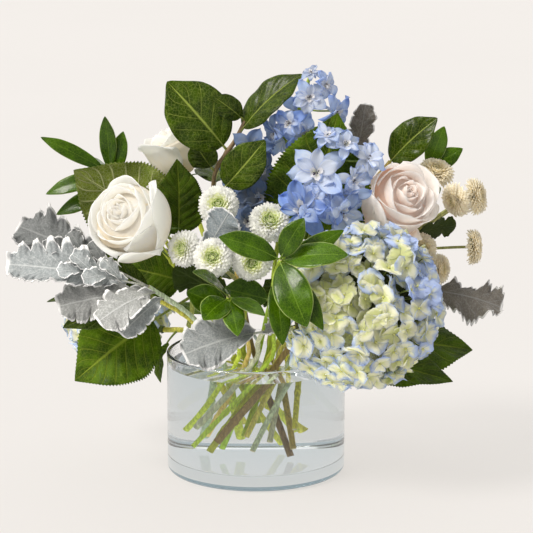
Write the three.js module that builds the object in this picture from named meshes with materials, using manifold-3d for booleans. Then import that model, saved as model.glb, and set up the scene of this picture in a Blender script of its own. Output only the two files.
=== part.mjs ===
// Hydrangeas in a vase: a mixed bouquet standing in water in a clear glass cylinder.
//
// Millimetres, +Z up. The origin is the centre of the vase's foot, +X is the bouquet's right
// as it is looked at from the front, and the front faces -Y.
//
// Every stem runs straight through the water and the mouth. The stems lean the same way round,
// in three nested rings, as in a hand-tied spiral, so that none meets another.

import * as THREE from "three";
import { mergeVertices } from "three/addons/utils/BufferGeometryUtils.js";
import Module from "manifold-3d";

const wasm = await Module();
wasm.setup();

// ---------------------------------------------------------------- driving dimensions

const GAP = 0.3; // between neighbours that touch
const VASE = { radius: 76, height: 103.5, wall: 3.5, base: 13, segments: 30 };
const WATER_LEVEL = 93;

const WAIST_HEIGHT = 80; // where the stems come closest to the axis
const MOUTH_HEIGHT = 106; // up to here they are straight
const RINGS = {
  outer: { waist: 27, lean: 0.75 },
  middle: { waist: 17, lean: 0.55 },
  inner: { waist: 7, lean: 0.35 },
};

const BLADE = 0.8; // thickness of a leaf
const PETAL = 0.9; // thickness of a petal
const STEM_SIDES = 5;

const COLOURS = {
  glass: { color: 0xdfeaf0, roughness: 0.05 },
  water: { color: 0xcfe3ee, roughness: 0.05 },
  hydrangea: { color: 0xc3cfe6, roughness: 0.7 },
  white: { color: 0xf4efe4, roughness: 0.6 },
  blush: { color: 0xf2dccd, roughness: 0.6 },
  mum: { color: 0xeef0d8, roughness: 0.75 },
  delphinium: { color: 0x8fa6de, roughness: 0.65 },
  leaf: { color: 0x3f6420, roughness: 0.5 },
  salal: { color: 0x3b6a1c, roughness: 0.35 },
  ruscus: { color: 0x4a7d22, roughness: 0.3 },
  miller: { color: 0xaab2b0, roughness: 0.9 },
  stem: { color: 0x76893c, roughness: 0.55 },
};

// ---------------------------------------------------------------- small helpers

const vec = (x, y, z) => new THREE.Vector3(x, y, z);
const at = (list) => vec(...list);
const radians = THREE.MathUtils.degToRad;
const UP = vec(0, 0, 1);

// A seeded draw, so that the same bouquet grows each time.
function seeded(seed) {
  let state = seed;
  return () => {
    state = (state * 16807) % 2147483647;
    return state / 2147483647;
  };
}

// A closed geometry as a solid with its faces pointing out.
function solid(geometry) {
  const bare = geometry.clone();
  bare.deleteAttribute("normal");
  bare.deleteAttribute("uv");
  const merged = mergeVertices(bare, 1e-4);
  const vertProperties = new Float32Array(merged.attributes.position.array);
  const triVerts = new Uint32Array(merged.index.array);
  if (signedVolume(vertProperties, triVerts) < 0) {
    triVerts.reverse();
  }
  return new wasm.Manifold(new wasm.Mesh({ numProp: 3, vertProperties, triVerts }));
}

function signedVolume(points, triangles) {
  const corner = (i) => vec(points[3 * i], points[3 * i + 1], points[3 * i + 2]);
  let total = 0;
  for (let i = 0; i < triangles.length; i += 3) {
    const [a, b, c] = [corner(triangles[i]), corner(triangles[i + 1]), corner(triangles[i + 2])];
    total += a.dot(b.cross(c)) / 6;
  }
  return total;
}

function indexed(points, triangles) {
  const geometry = new THREE.BufferGeometry();
  geometry.setFromPoints(points);
  geometry.setIndex(triangles.flat());
  return geometry;
}

// A thin closed slab between two grids of points, which are given row by row. Both faces are
// split along the same diagonals, so that a bent slab never crosses itself.
function slab(front, back) {
  const rows = front.length;
  const columns = front[0].length;
  const under = rows * columns;
  const triangles = [];
  const quad = (p, q, r, s) => triangles.push([p, q, r], [p, r, s]);
  for (let row = 0; row + 1 < rows; row += 1) {
    for (let column = 0; column + 1 < columns; column += 1) {
      const [near, far] = [row * columns + column, (row + 1) * columns + column];
      quad(near, near + 1, far + 1, far);
      triangles.push([under + near, under + far + 1, under + near + 1]);
      triangles.push([under + near, under + far, under + far + 1]);
    }
    const [left, leftOn] = [row * columns, (row + 1) * columns];
    quad(left, leftOn, under + leftOn, under + left);
    const [right, rightOn] = [left + columns - 1, leftOn + columns - 1];
    quad(right, under + right, under + rightOn, rightOn);
  }
  for (let column = 0; column + 1 < columns; column += 1) {
    const last = (rows - 1) * columns + column;
    quad(column, under + column, under + column + 1, column + 1);
    quad(last, last + 1, under + last + 1, under + last);
  }
  return indexed([...front.flat(), ...back.flat()], triangles);
}

const join = (pieces) => pieces.reduce((whole, piece) => whole.add(piece));

const SCRAP = 0.01; // the largest share of a node that may fall away as a loose scrap

// The largest single body: a hollow sealed by joining is filled, and a loose scrap is dropped.
// A petal, leaf or floret that doesn't reach its stem is no scrap, so that stops the build.
function oneBody(joined, name) {
  const bodies = joined.decompose();
  const largest = bodies.reduce((best, body) => (body.volume() > best.volume() ? body : best));
  const loose = bodies.reduce((sum, body) => sum + Math.max(0, body.volume()), -largest.volume());
  if (loose > SCRAP * largest.volume()) {
    throw new Error(`${name}: ${loose.toFixed(0)} mm3 in ${bodies.length - 1} pieces would be lost`);
  }
  return largest;
}

function meshOf(name, body, look) {
  const { vertProperties, triVerts } = body.getMesh();
  const geometry = new THREE.BufferGeometry();
  geometry.setAttribute("position", new THREE.BufferAttribute(new Float32Array(vertProperties), 3));
  geometry.setIndex(new THREE.BufferAttribute(new Uint32Array(triVerts), 1));
  geometry.computeVertexNormals();
  const mesh = new THREE.Mesh(geometry, new THREE.MeshStandardMaterial({ ...look, metalness: 0 }));
  mesh.name = name;
  return mesh;
}

// Turns a geometry built round +Z so that +Z lies along the axis, and moves it to the point.
function aimed(geometry, point, axis, spin = 0) {
  const turn = new THREE.Quaternion().setFromUnitVectors(UP, axis.clone().normalize());
  return geometry.rotateZ(spin).applyQuaternion(turn).translate(point.x, point.y, point.z);
}

// A path of straight stretches, which a tube follows with one ring at each of its points.
class Stretches extends THREE.Curve {
  constructor(points) {
    super();
    this.points = points;
  }

  getSpacedPoints() {
    return this.points;
  }

  getTangentAt(share) {
    const { points } = this;
    const here = Math.round(share * (points.length - 1));
    const before = points[Math.max(here - 1, 0)];
    const after = points[Math.min(here + 1, points.length - 1)];
    const arriving = points[here].clone().sub(before).normalize();
    const leaving = after.clone().sub(points[here]).normalize();
    return arriving.add(leaving).normalize();
  }
}

function tube(points, radius, sides = STEM_SIDES) {
  const corners = [];
  for (let i = 0; i < sides; i += 1) {
    const angle = (2 * Math.PI * i) / sides;
    corners.push(new THREE.Vector2(radius * Math.cos(angle), radius * Math.sin(angle)));
  }
  const section = new THREE.Shape(corners);
  const options = { steps: points.length - 1, extrudePath: new Stretches(points), bevelEnabled: false };
  return solid(new THREE.ExtrudeGeometry(section, options));
}

function turned(profile, segments) {
  const points = profile.map(([radius, height]) => new THREE.Vector2(radius, height));
  return new THREE.LatheGeometry(points, segments).rotateX(Math.PI / 2);
}

// ---------------------------------------------------------------- leaves

// half width of a blade along its length s = 0..1, largest 1 at s = a / (a + b)
function outline(s, a, b) {
  const peak = a / (a + b);
  return (s / peak) ** a * ((1 - s) / (1 - peak)) ** b;
}

// stations: steps along the blade; notch and sweep: depth and forward lean of the teeth
const LEAF_KINDS = {
  hydrangea: { a: 0.55, b: 0.95, stations: 8, notch: 0.14, sweep: 0.03, fold: 0.22, wave: 0.02 },
  salal: { a: 0.6, b: 0.7, stations: 4, notch: 0, sweep: 0, fold: 0.25, wave: 0.02 },
  ruscus: { a: 0.75, b: 0.75, stations: 4, notch: 0, sweep: 0, fold: 0, wave: 0 },
  miller: { a: 0.75, b: 0.5, stations: 8, notch: 0.42, sweep: 0.06, fold: 0, wave: 0.04 },
  mum: { a: 0.7, b: 0.45, stations: 7, notch: 0.45, sweep: 0.08, fold: 0, wave: 0 },
};
const STALK_HALF = 0.9; // half width of a leaf's stalk
const TIP_HALF = 0.35;

// One leaf on its stalk: a thin blade, folded along its rib and arched from root to tip.
//   face    the way the middle of its upper side looks
//   arch    rise of the middle over the straight line from root to tip, as a share of its length
//   stalk   share of the length that is bare stalk
function leaf(kind, root, { tip, width, face = [0, -1, 0.2], arch = 0.08, stalk = 0.15 }) {
  const { a, b, stations, notch, sweep, fold, wave } = LEAF_KINDS[kind];
  const end = at(tip);
  const length = root.distanceTo(end);
  const along = end.clone().sub(root).normalize();
  const look = at(face).addScaledVector(along, -at(face).dot(along)).normalize();
  const middle = root.clone().lerp(end, 0.5).addScaledVector(look, 2 * arch * length);
  const rib = new THREE.QuadraticBezierCurve3(root, middle, end);
  const hands = fold > 0 ? [-1, 0, 1] : [-1, 1];
  const [upper, lower] = [[], []];

  const station = (t, half, forward, lift) => {
    const tangent = rib.getTangent(t);
    const side = tangent.clone().cross(look).normalize();
    const normal = side.clone().cross(tangent).normalize();
    const row = hands.map((hand) => {
      const rise = Math.abs(hand) * half * Math.sin(fold) + hand * lift;
      return rib.getPoint(t)
        .addScaledVector(side, hand * half * Math.cos(fold))
        .addScaledVector(normal, rise)
        .addScaledVector(tangent, Math.abs(hand) * forward);
    });
    upper.push(row.map((point) => point.clone().addScaledVector(normal, BLADE / 2)));
    lower.push(row.map((point) => point.clone().addScaledVector(normal, -BLADE / 2)));
  };

  station(0, STALK_HALF, 0, 0);
  if (stalk > 0.06) {
    station(stalk, STALK_HALF, 0, 0);
  }
  for (let i = 1; i < stations; i += 1) {
    const s = i / stations;
    const tooth = i % 2 === 1;
    const half = (width / 2) * outline(s, a, b) * (tooth ? 1 : 1 - notch);
    const lift = wave * width * Math.sin(i * 2.4);
    station(stalk + (1 - stalk) * s, Math.max(half, STALK_HALF), tooth ? sweep * length : 0, lift);
  }
  station(1, TIP_HALF, 0, 0);
  return solid(slab(upper, lower));
}

// ---------------------------------------------------------------- stems

// The straight part of a stem, from its cut foot through the water to the mouth.
function straightPart({ ring, bearing, foot }) {
  const { waist, lean } = RINGS[ring];
  const turn = radians(bearing) - Math.atan2(lean * (MOUTH_HEIGHT - WAIST_HEIGHT), waist);
  const point = (z) => {
    const sideways = lean * (z - WAIST_HEIGHT);
    const x = waist * Math.cos(turn) - sideways * Math.sin(turn);
    const y = waist * Math.sin(turn) + sideways * Math.cos(turn);
    return vec(x, y, z);
  };
  return { foot: point(foot), mouth: point(MOUTH_HEIGHT), below: point(MOUTH_HEIGHT - 5) };
}

// The point a share t of the way along a line of points.
function pointOn(line, t) {
  const place = Math.min(t * (line.length - 1), line.length - 1.001);
  const step = Math.floor(place);
  return line[step].clone().lerp(line[step + 1], place - step);
}

function nearestOn(line, point) {
  let best = line[0];
  for (let i = 0; i + 1 < line.length; i += 1) {
    const spot = new THREE.Line3(line[i], line[i + 1]).closestPointToPoint(point, true, vec(0, 0, 0));
    best = spot.distanceTo(point) < best.distanceTo(point) ? spot : best;
  }
  return best;
}

// A stem with what grows from it, rooted on the middle of its tubes. `path` goes on from the
// mouth, and each shoot leaves the stem `from` a share of the way up.
function growStem({ ring, bearing, foot, radius, path, shoots = [], leaves = [], kind }) {
  const straight = straightPart({ ring, bearing, foot });
  const bend = new THREE.CatmullRomCurve3([straight.below, straight.mouth, ...path.map(at)]);
  const upper = bend.getSpacedPoints(path.length + 2).slice(1);
  upper[0] = straight.mouth;
  const lines = [upper];
  const pieces = [tube([straight.foot, ...upper], radius)];
  for (const { from, path: via, radius: thin } of shoots) {
    const shoot = new THREE.CatmullRomCurve3([pointOn(upper, from), ...via.map(at)]);
    lines.push(shoot.getSpacedPoints(via.length + 1));
    pieces.push(tube(lines.at(-1), thin, 4));
  }
  for (const { on = 0, t, ...shape } of leaves) {
    pieces.push(leaf(shape.kind ?? kind, pointOn(lines[on], t), shape));
  }
  return { pieces, lines };
}

// The plain hole that a stem stands in.
function holeFor(stem) {
  const { foot, mouth } = straightPart(stem);
  const along = mouth.clone().sub(foot).normalize();
  const start = foot.clone().addScaledVector(along, -GAP);
  return tube([start, mouth], stem.radius + GAP / Math.cos(Math.PI / STEM_SIDES));
}

// ---------------------------------------------------------------- flowers

// An open floret: lobed petals round a sunk middle, narrowing behind to a root.
// `shape` gives the corners of one petal: share of its angle from the middle, and reach.
const BROAD_PETAL = [[-0.28, 0.95], [0.28, 1], [0.5, 0.42]];
const POINTED_PETAL = [[-0.06, 1], [0.44, 0.5]];

function star({ shape, lobes, radius, cup, root, draw }) {
  const points = [vec(0, 0, 0), vec(0, 0, -root)];
  for (let lobe = 0; lobe < lobes; lobe += 1) {
    const lift = cup * (0.7 + 0.6 * draw());
    for (const [across, reach] of shape) {
      const angle = (2 * Math.PI * (lobe + across)) / lobes;
      const out = radius * reach;
      points.push(vec(out * Math.cos(angle), out * Math.sin(angle), lift * reach * reach));
    }
  }
  const triangles = [];
  const rim = points.length - 2;
  for (let i = 0; i < rim; i += 1) {
    const [here, next] = [2 + i, 2 + ((i + 1) % rim)];
    triangles.push([0, here, next], [1, next, here]);
  }
  return indexed(points, triangles);
}

// A mophead: florets spread evenly over a ball, which stand out of a smaller core.
function mophead({ centre, radius, florets, floret, stalkTo, seed }) {
  const draw = seeded(seed);
  const middle = at(centre);
  const towardsStem = at(stalkTo).sub(middle).normalize();
  const stalkEnd = middle.clone().addScaledVector(towardsStem, middle.distanceTo(at(stalkTo)) - GAP);
  const core = new THREE.IcosahedronGeometry(radius * 0.84, 0).translate(...centre);
  const pieces = [solid(core), tube([middle, stalkEnd], 3.2)];
  const goldenAngle = Math.PI * (3 - Math.sqrt(5));
  for (let i = 0; i < florets; i += 1) {
    const height = 1 - (2 * (i + 0.5)) / florets;
    const ring = Math.sqrt(1 - height * height);
    const out = vec(ring * Math.cos(i * goldenAngle), ring * Math.sin(i * goldenAngle), height);
    const spot = middle.clone().addScaledVector(out, radius * (0.9 + 0.05 * draw()));
    const tilt = vec(draw() - 0.5, draw() - 0.5, draw() - 0.5).multiplyScalar(0.5);
    const size = floret * (0.9 + 0.2 * draw());
    const form = { shape: BROAD_PETAL, lobes: 4, radius: size, cup: 2.6, root: radius * 0.34, draw };
    const spin = draw() * Math.PI;
    if (out.dot(towardsStem) < 0.93) {
      pieces.push(solid(aimed(star(form), spot, out.add(tilt), spin)));
    }
  }
  return pieces;
}

// One petal of a rose: a cupped blade that stands on the ring of the given radius.
function rosePetal({ ring, height, spread, flare, rows, columns }) {
  const grid = (inset) => Array.from({ length: rows }, (_, row) => {
    const up = row / (rows - 1);
    const belly = 0.18 + 0.82 * Math.sin((Math.PI / 2) * Math.min(1, up * 1.35));
    const out = ring * (belly + flare * up ** 3) - inset;
    return Array.from({ length: columns }, (_, column) => {
      const across = (2 * column) / (columns - 1) - 1;
      const angle = spread * across * (0.75 + 0.25 * up);
      const rise = height * (0.1 + 0.9 * up) * (1 - 0.2 * up * across * across);
      return vec(out * Math.cos(angle), out * Math.sin(angle), rise);
    });
  });
  return slab(grid(0), grid(PETAL));
}

// A rose: petals in a spiral of growing rings, on one receptacle. `open` is how far the outer
// petals lean out at the top, as a share of their ring. Below zero they close over the heart.
function rose({ base, axis, radius, height, petals, open }) {
  const receptacle = turned(
    [[0, 0], [4.5, 0], [radius * 0.42, height * 0.2], [radius * 0.3, height * 0.42], [0, height * 0.66]],
    7,
  );
  const [foot, towards] = [at(base), at(axis)];
  const pieces = [solid(aimed(receptacle, foot, towards))];
  for (let i = 0; i < petals; i += 1) {
    const share = (i + 1) / petals;
    const outer = share > 0.6;
    const petal = rosePetal({
      ring: radius * (0.2 + 0.8 * share ** 0.9) * (outer ? 1 - open * 0.25 : 1),
      height: height * (1 - 0.2 * share),
      spread: radians(outer ? 50 : 78 - 20 * share),
      flare: outer ? open * share : -0.3,
      rows: 3,
      columns: outer ? 4 : 3,
    });
    pieces.push(solid(aimed(petal, foot, towards, i * radians(137.5))));
  }
  return pieces;
}

// A button chrysanthemum: a dome in rings of short petals, each ring set between the last.
function mum({ base, axis, radius }) {
  const petals = 8;
  const rings = [
    [0.5, 0.04, 0],
    [0.97, 0.26, 0.1],
    [0.9, 0.56, 0.11],
    [0.52, 0.78, 0.13],
  ];
  const points = [vec(0, 0, 0)];
  rings.forEach(([reach, rise, relief], ring) => {
    for (let i = 0; i < 2 * petals; i += 1) {
      const ridge = (i + ring) % 2 === 0 ? 1 : -1;
      const out = radius * (reach + ridge * relief * 0.7);
      const angle = (Math.PI * i) / petals;
      const up = radius * (rise + ridge * relief * 0.4);
      points.push(vec(out * Math.cos(angle), out * Math.sin(angle), up));
    }
  });
  points.push(vec(0, 0, radius * 0.76));
  const around = 2 * petals;
  const top = points.length - 1;
  const triangles = [];
  for (let i = 0; i < around; i += 1) {
    const next = (i + 1) % around;
    triangles.push([0, 1 + next, 1 + i]);
    triangles.push([top, top - around + i, top - around + next]);
    for (let ring = 0; ring + 1 < rings.length; ring += 1) {
      const [low, high] = [1 + ring * around, 1 + (ring + 1) * around];
      triangles.push([low + i, low + next, high + next], [low + i, high + next, high + i]);
    }
  }
  return [solid(aimed(indexed(points, triangles), at(base), at(axis)))];
}

const CALYX_DEPTH = 6; // of the green cup under a rose
const STALK_RUN = 7; // a head's stalk is straight for this far below it
const PEDICEL_DROP = 6; // how far below its floret a stalk leaves the spike

// The small green cup that a rose sits on, GAP below the bloom's foot.
function cup({ base, axis }) {
  const towards = at(axis).normalize();
  const foot = at(base).addScaledVector(towards, -GAP - CALYX_DEPTH);
  return solid(aimed(turned([[0, 0], [5.5, CALYX_DEPTH], [0, CALYX_DEPTH]], 5), foot, towards));
}

// The point so far below a bloom's foot, on its axis.
function below({ base, axis }, depth) {
  const point = at(base).addScaledVector(at(axis).normalize(), -depth);
  return [point.x, point.y, point.z];
}

// Five narrow sepals, bent down and out from under a rose.
function sepals({ base, axis }) {
  const towards = at(axis).normalize();
  const root = at(base).addScaledVector(towards, -3.2);
  const turn = new THREE.Quaternion().setFromUnitVectors(UP, towards);
  const pieces = [];
  for (let i = 0; i < 5; i += 1) {
    const out = vec(Math.cos(radians(72 * i)), Math.sin(radians(72 * i)), -0.5).applyQuaternion(turn);
    const spike = new THREE.ConeGeometry(2.2, 20, 3).rotateX(Math.PI / 2).translate(0, 0, 11);
    pieces.push(solid(aimed(spike, root, out)));
  }
  return pieces;
}

// ---------------------------------------------------------------- the vase and its water

function vase() {
  const { radius, height, wall, base, segments } = VASE;
  const inside = radius - wall;
  const profile = [
    [0, 0],
    [radius - 5, 0],
    [radius - 0.8, 3],
    [radius, 8],
    [radius, height - 1.2],
    [radius - 1.2, height],
    [inside + 1.2, height],
    [inside, height - 1.2],
    [inside, base + 5],
    [inside - 5, base],
    [0, base],
  ];
  return solid(turned(profile, segments));
}

function water(stems) {
  const { radius, wall, base, segments } = VASE;
  const side = radius - wall - GAP;
  const bottom = base + GAP;
  const profile = [
    [0, bottom],
    [side - 5, bottom],
    [side, bottom + 5],
    [side, WATER_LEVEL],
    [0, WATER_LEVEL],
  ];
  return stems.reduce((left, stem) => left.subtract(holeFor(stem)), solid(turned(profile, segments)));
}

// ---------------------------------------------------------------- the arrangement

const HYDRANGEAS = {
  right: { centre: [87, -80, 162], radius: 66, florets: 34, floret: 18, stalkTo: [44, -35, 129], seed: 11 },
  left: { centre: [-120, 62, 118], radius: 43, florets: 15, floret: 16, stalkTo: [-80, 41, 111], seed: 7 },
};

const ROSES = {
  left: { base: [-88, -36, 212], axis: [-0.46, -0.72, 0.52], radius: 38, height: 61, petals: 11, open: -0.12 },
  back: { base: [-62, 40, 246], axis: [-0.4, 0, 0.92], radius: 27, height: 46, petals: 8, open: 0.2 },
  right: { base: [103, 4, 222], axis: [0.46, -0.74, 0.48], radius: 36, height: 60, petals: 11, open: -0.12 },
};

const MUMS = {
  left_1: { base: [-30, -52, 238], axis: [-0.1, -0.85, 0.5], radius: 17 },
  left_2: { base: [-56, -68, 206], axis: [-0.6, -0.75, 0.25], radius: 15.5 },
  left_3: { base: [-34, -86, 202], axis: [-0.1, -0.9, 0.4], radius: 16.5 },
  left_4: { base: [11, -48, 222], axis: [0.15, -0.7, 0.7], radius: 18 },
  left_5: { base: [-3, -80, 200], axis: [0.1, -0.97, -0.1], radius: 17 },
  right_1: { base: [152, 22, 250], axis: [0.2, -0.4, 0.9], radius: 16 },
  right_2: {
    base: [171, -5, 236], axis: [-0.75, -0.55, -0.25], radius: 15,
    via: [[166, 20, 224], [178, 5, 238]],
  },
  right_3: {
    base: [181, 1, 236], axis: [0.85, -0.3, 0.2], radius: 16,
    via: [[166, 20, 222], [173, 10, 235]],
  },
  right_4: { base: [180, 1, 193], axis: [0.97, -0.2, 0.05], radius: 15 },
  right_5: { base: [152, -8, 176], axis: [0.85, -0.5, 0.1], radius: 13 },
  right_6: { base: [139, -7, 194], axis: [0.2, -0.95, 0.2], radius: 13 },
};

const FLOWER_STEMS = {
  hydrangea_stem_right: {
    ring: "outer", bearing: -43, foot: 34, radius: 3.4, kind: "hydrangea",
    path: [[35, -27, 118], [43.4, -34.2, 128.4]],
    shoots: [{ from: 0.55, path: [[34, -14, 150], [42, -18, 196]], radius: 2.2 }],
    leaves: [
      { t: 0.5, tip: [185, 2, 103], width: 80, face: [0.1, -0.6, 0.8], arch: 0.04, stalk: 0.32 },
      { t: 0.3, tip: [165, -46, 88], width: 60, face: [0.15, -0.45, 0.9], arch: 0.02, stalk: 0.34 },
      { on: 1, t: 0.45, tip: [8, -58, 178], width: 40, face: [-0.3, -1, 0.2], arch: 0.04, stalk: 0.3 },
      { on: 1, t: 0.9, tip: [68, -20, 311], width: 92, face: [-0.1, -1, 0.1], arch: 0.04, stalk: 0.12 },
    ],
  },
  hydrangea_stem_left: {
    ring: "outer", bearing: 150, foot: 28, radius: 3.2, kind: "hydrangea",
    path: [[-60, 30, 113], HYDRANGEAS.left.stalkTo],
    shoots: [{ from: 0.5, path: [[-54, -2, 150], [-66, -3, 200]], radius: 2.2 }],
    leaves: [
      { on: 1, t: 0.95, tip: [-152, -14, 262], width: 86, face: [0.1, 1, 0.1], arch: 0.05, stalk: 0.1 },
      { on: 1, t: 0.98, tip: [-66, -6, 270], width: 46, face: [0.3, -1, 0], arch: 0.06, stalk: 0.1 },
      { on: 1, t: 0.5, tip: [-153, -26, 83], width: 78, face: [-0.3, -0.9, 0.35], arch: 0.08, stalk: 0.32 },
      { on: 1, t: 0.62, tip: [-112, 2, 176], width: 48, face: [0, -0.9, 0.4], arch: 0.06, stalk: 0.12 },
      { t: 0.7, tip: [-82, 10, 72], width: 34, face: [-1, -0.35, 0.1], arch: 0.14, stalk: 0.3 },
      { t: 0.3, tip: [-34, 122, 112], width: 60, face: [0, 0.6, 0.8], arch: 0.12, stalk: 0.3 },
    ],
  },
  rose_stem_left: {
    ring: "middle", bearing: 205, foot: 24, radius: 2.9, bloom: ROSES.left,
    path: [[-42, -18, 142], [-70, -24, 186]],
  },
  rose_stem_back: {
    ring: "middle", bearing: 140, foot: 32, radius: 2.7, bloom: ROSES.back,
    path: [[-28, 24, 150], [-48, 36, 205]],
  },
  rose_stem_right: {
    ring: "middle", bearing: 310, foot: 22, radius: 2.9, bloom: ROSES.right,
    path: [[38, -2, 146], [72, 10, 190]],
  },
};

const SPRAYS = {
  mum_stem_left: {
    ring: "middle", bearing: 255, foot: 30, radius: 2.3, kind: "mum",
    path: [[-12, -34, 150], [-16, -42, 182]],
    heads: ["left_1", "left_2", "left_3", "left_4", "left_5"],
    leaves: [{ t: 0.5, tip: [-68, -50, 186], width: 34, face: [0, -0.9, 0.4], arch: 0.03, stalk: 0.15 }],
  },
  mum_stem_right: {
    ring: "middle", bearing: 350, foot: 38, radius: 2.3, kind: "mum",
    path: [[60, 6, 140], [106, 16, 178], [134, 20, 208]],
    heads: ["right_1", "right_2", "right_3", "right_4", "right_5", "right_6"],
    leaves: [{ t: 0.9, tip: [168, -12, 214], width: 22, face: [0, -0.7, 0.7], arch: 0.03, stalk: 0.3 }],
  },
};

// each floret: where it sits, the way it looks, and its radius
const DELPHINIUMS = {
  delphinium_tall: {
    ring: "inner", bearing: 0, foot: 36, radius: 2.2,
    path: [[14, 4, 160], [22, 6, 220], [28, 5, 277], [40, 5, 322], [45, 4, 337]],
    florets: [
      [[46, -2, 341], [0, -0.4, 1], 8],
      [[57, -3, 331], [0.8, -0.6, 0.2], 10],
      [[45, -8, 322], [0, -1, 0.2], 11],
      [[65, -4, 309], [0.7, -0.6, -0.2], 12],
      [[29, -6, 300], [-0.5, -0.9, 0.1], 11],
      [[18, 2, 290], [-0.9, -0.4, 0], 11],
      [[40, -9, 292], [0.4, -1, -0.1], 11],
      [[34, 20, 306], [0, 1, 0.2], 12],
      [[24, 22, 282], [-0.3, 1, 0], 12],
    ],
  },
  delphinium_front: {
    ring: "inner", bearing: 285, foot: 20, radius: 2.2,
    path: [[12, -22, 150], [28, -32, 200], [50, -34, 236], [64, -34, 276]],
    florets: [
      [[50, -54, 267], [-0.1, -1, 0.25], 18],
      [[38, -66, 237], [-0.2, -0.9, 0.45], 17],
      [[54, -60, 250], [0.2, -1, 0], 12],
      [[70, -58, 235], [0.4, -0.9, -0.2], 14],
      [[80, -50, 259], [0.5, -0.8, 0.2], 11],
      [[92, -42, 276], [0.5, -0.7, 0.5], 12],
      [[74, -44, 288], [0.1, -0.8, 0.6], 10],
      [[60, -40, 294], [-0.2, -0.5, 0.8], 10],
    ],
  },
  delphinium_back: {
    ring: "inner", bearing: 200, foot: 42, radius: 2.2,
    path: [[-8, -4, 160], [-4, -2, 220], [-2, 2, 268], [0, 4, 286]],
    florets: [
      [[-3, -10, 279], [-0.2, -1, 0.3], 13],
      [[-12, -8, 254], [-0.4, -0.9, 0], 12],
      [[2, -18, 240], [0.1, -1, 0], 13],
      [[-6, -20, 220], [-0.2, -1, -0.1], 12],
      [[4, -14, 262], [0.3, -1, 0.2], 11],
      [[-16, 14, 252], [-0.6, 1, 0], 13],
      [[6, 20, 246], [0.3, 1, 0], 13],
      [[-2, 20, 270], [0, 1, 0.3], 12],
    ],
  },
};

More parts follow.
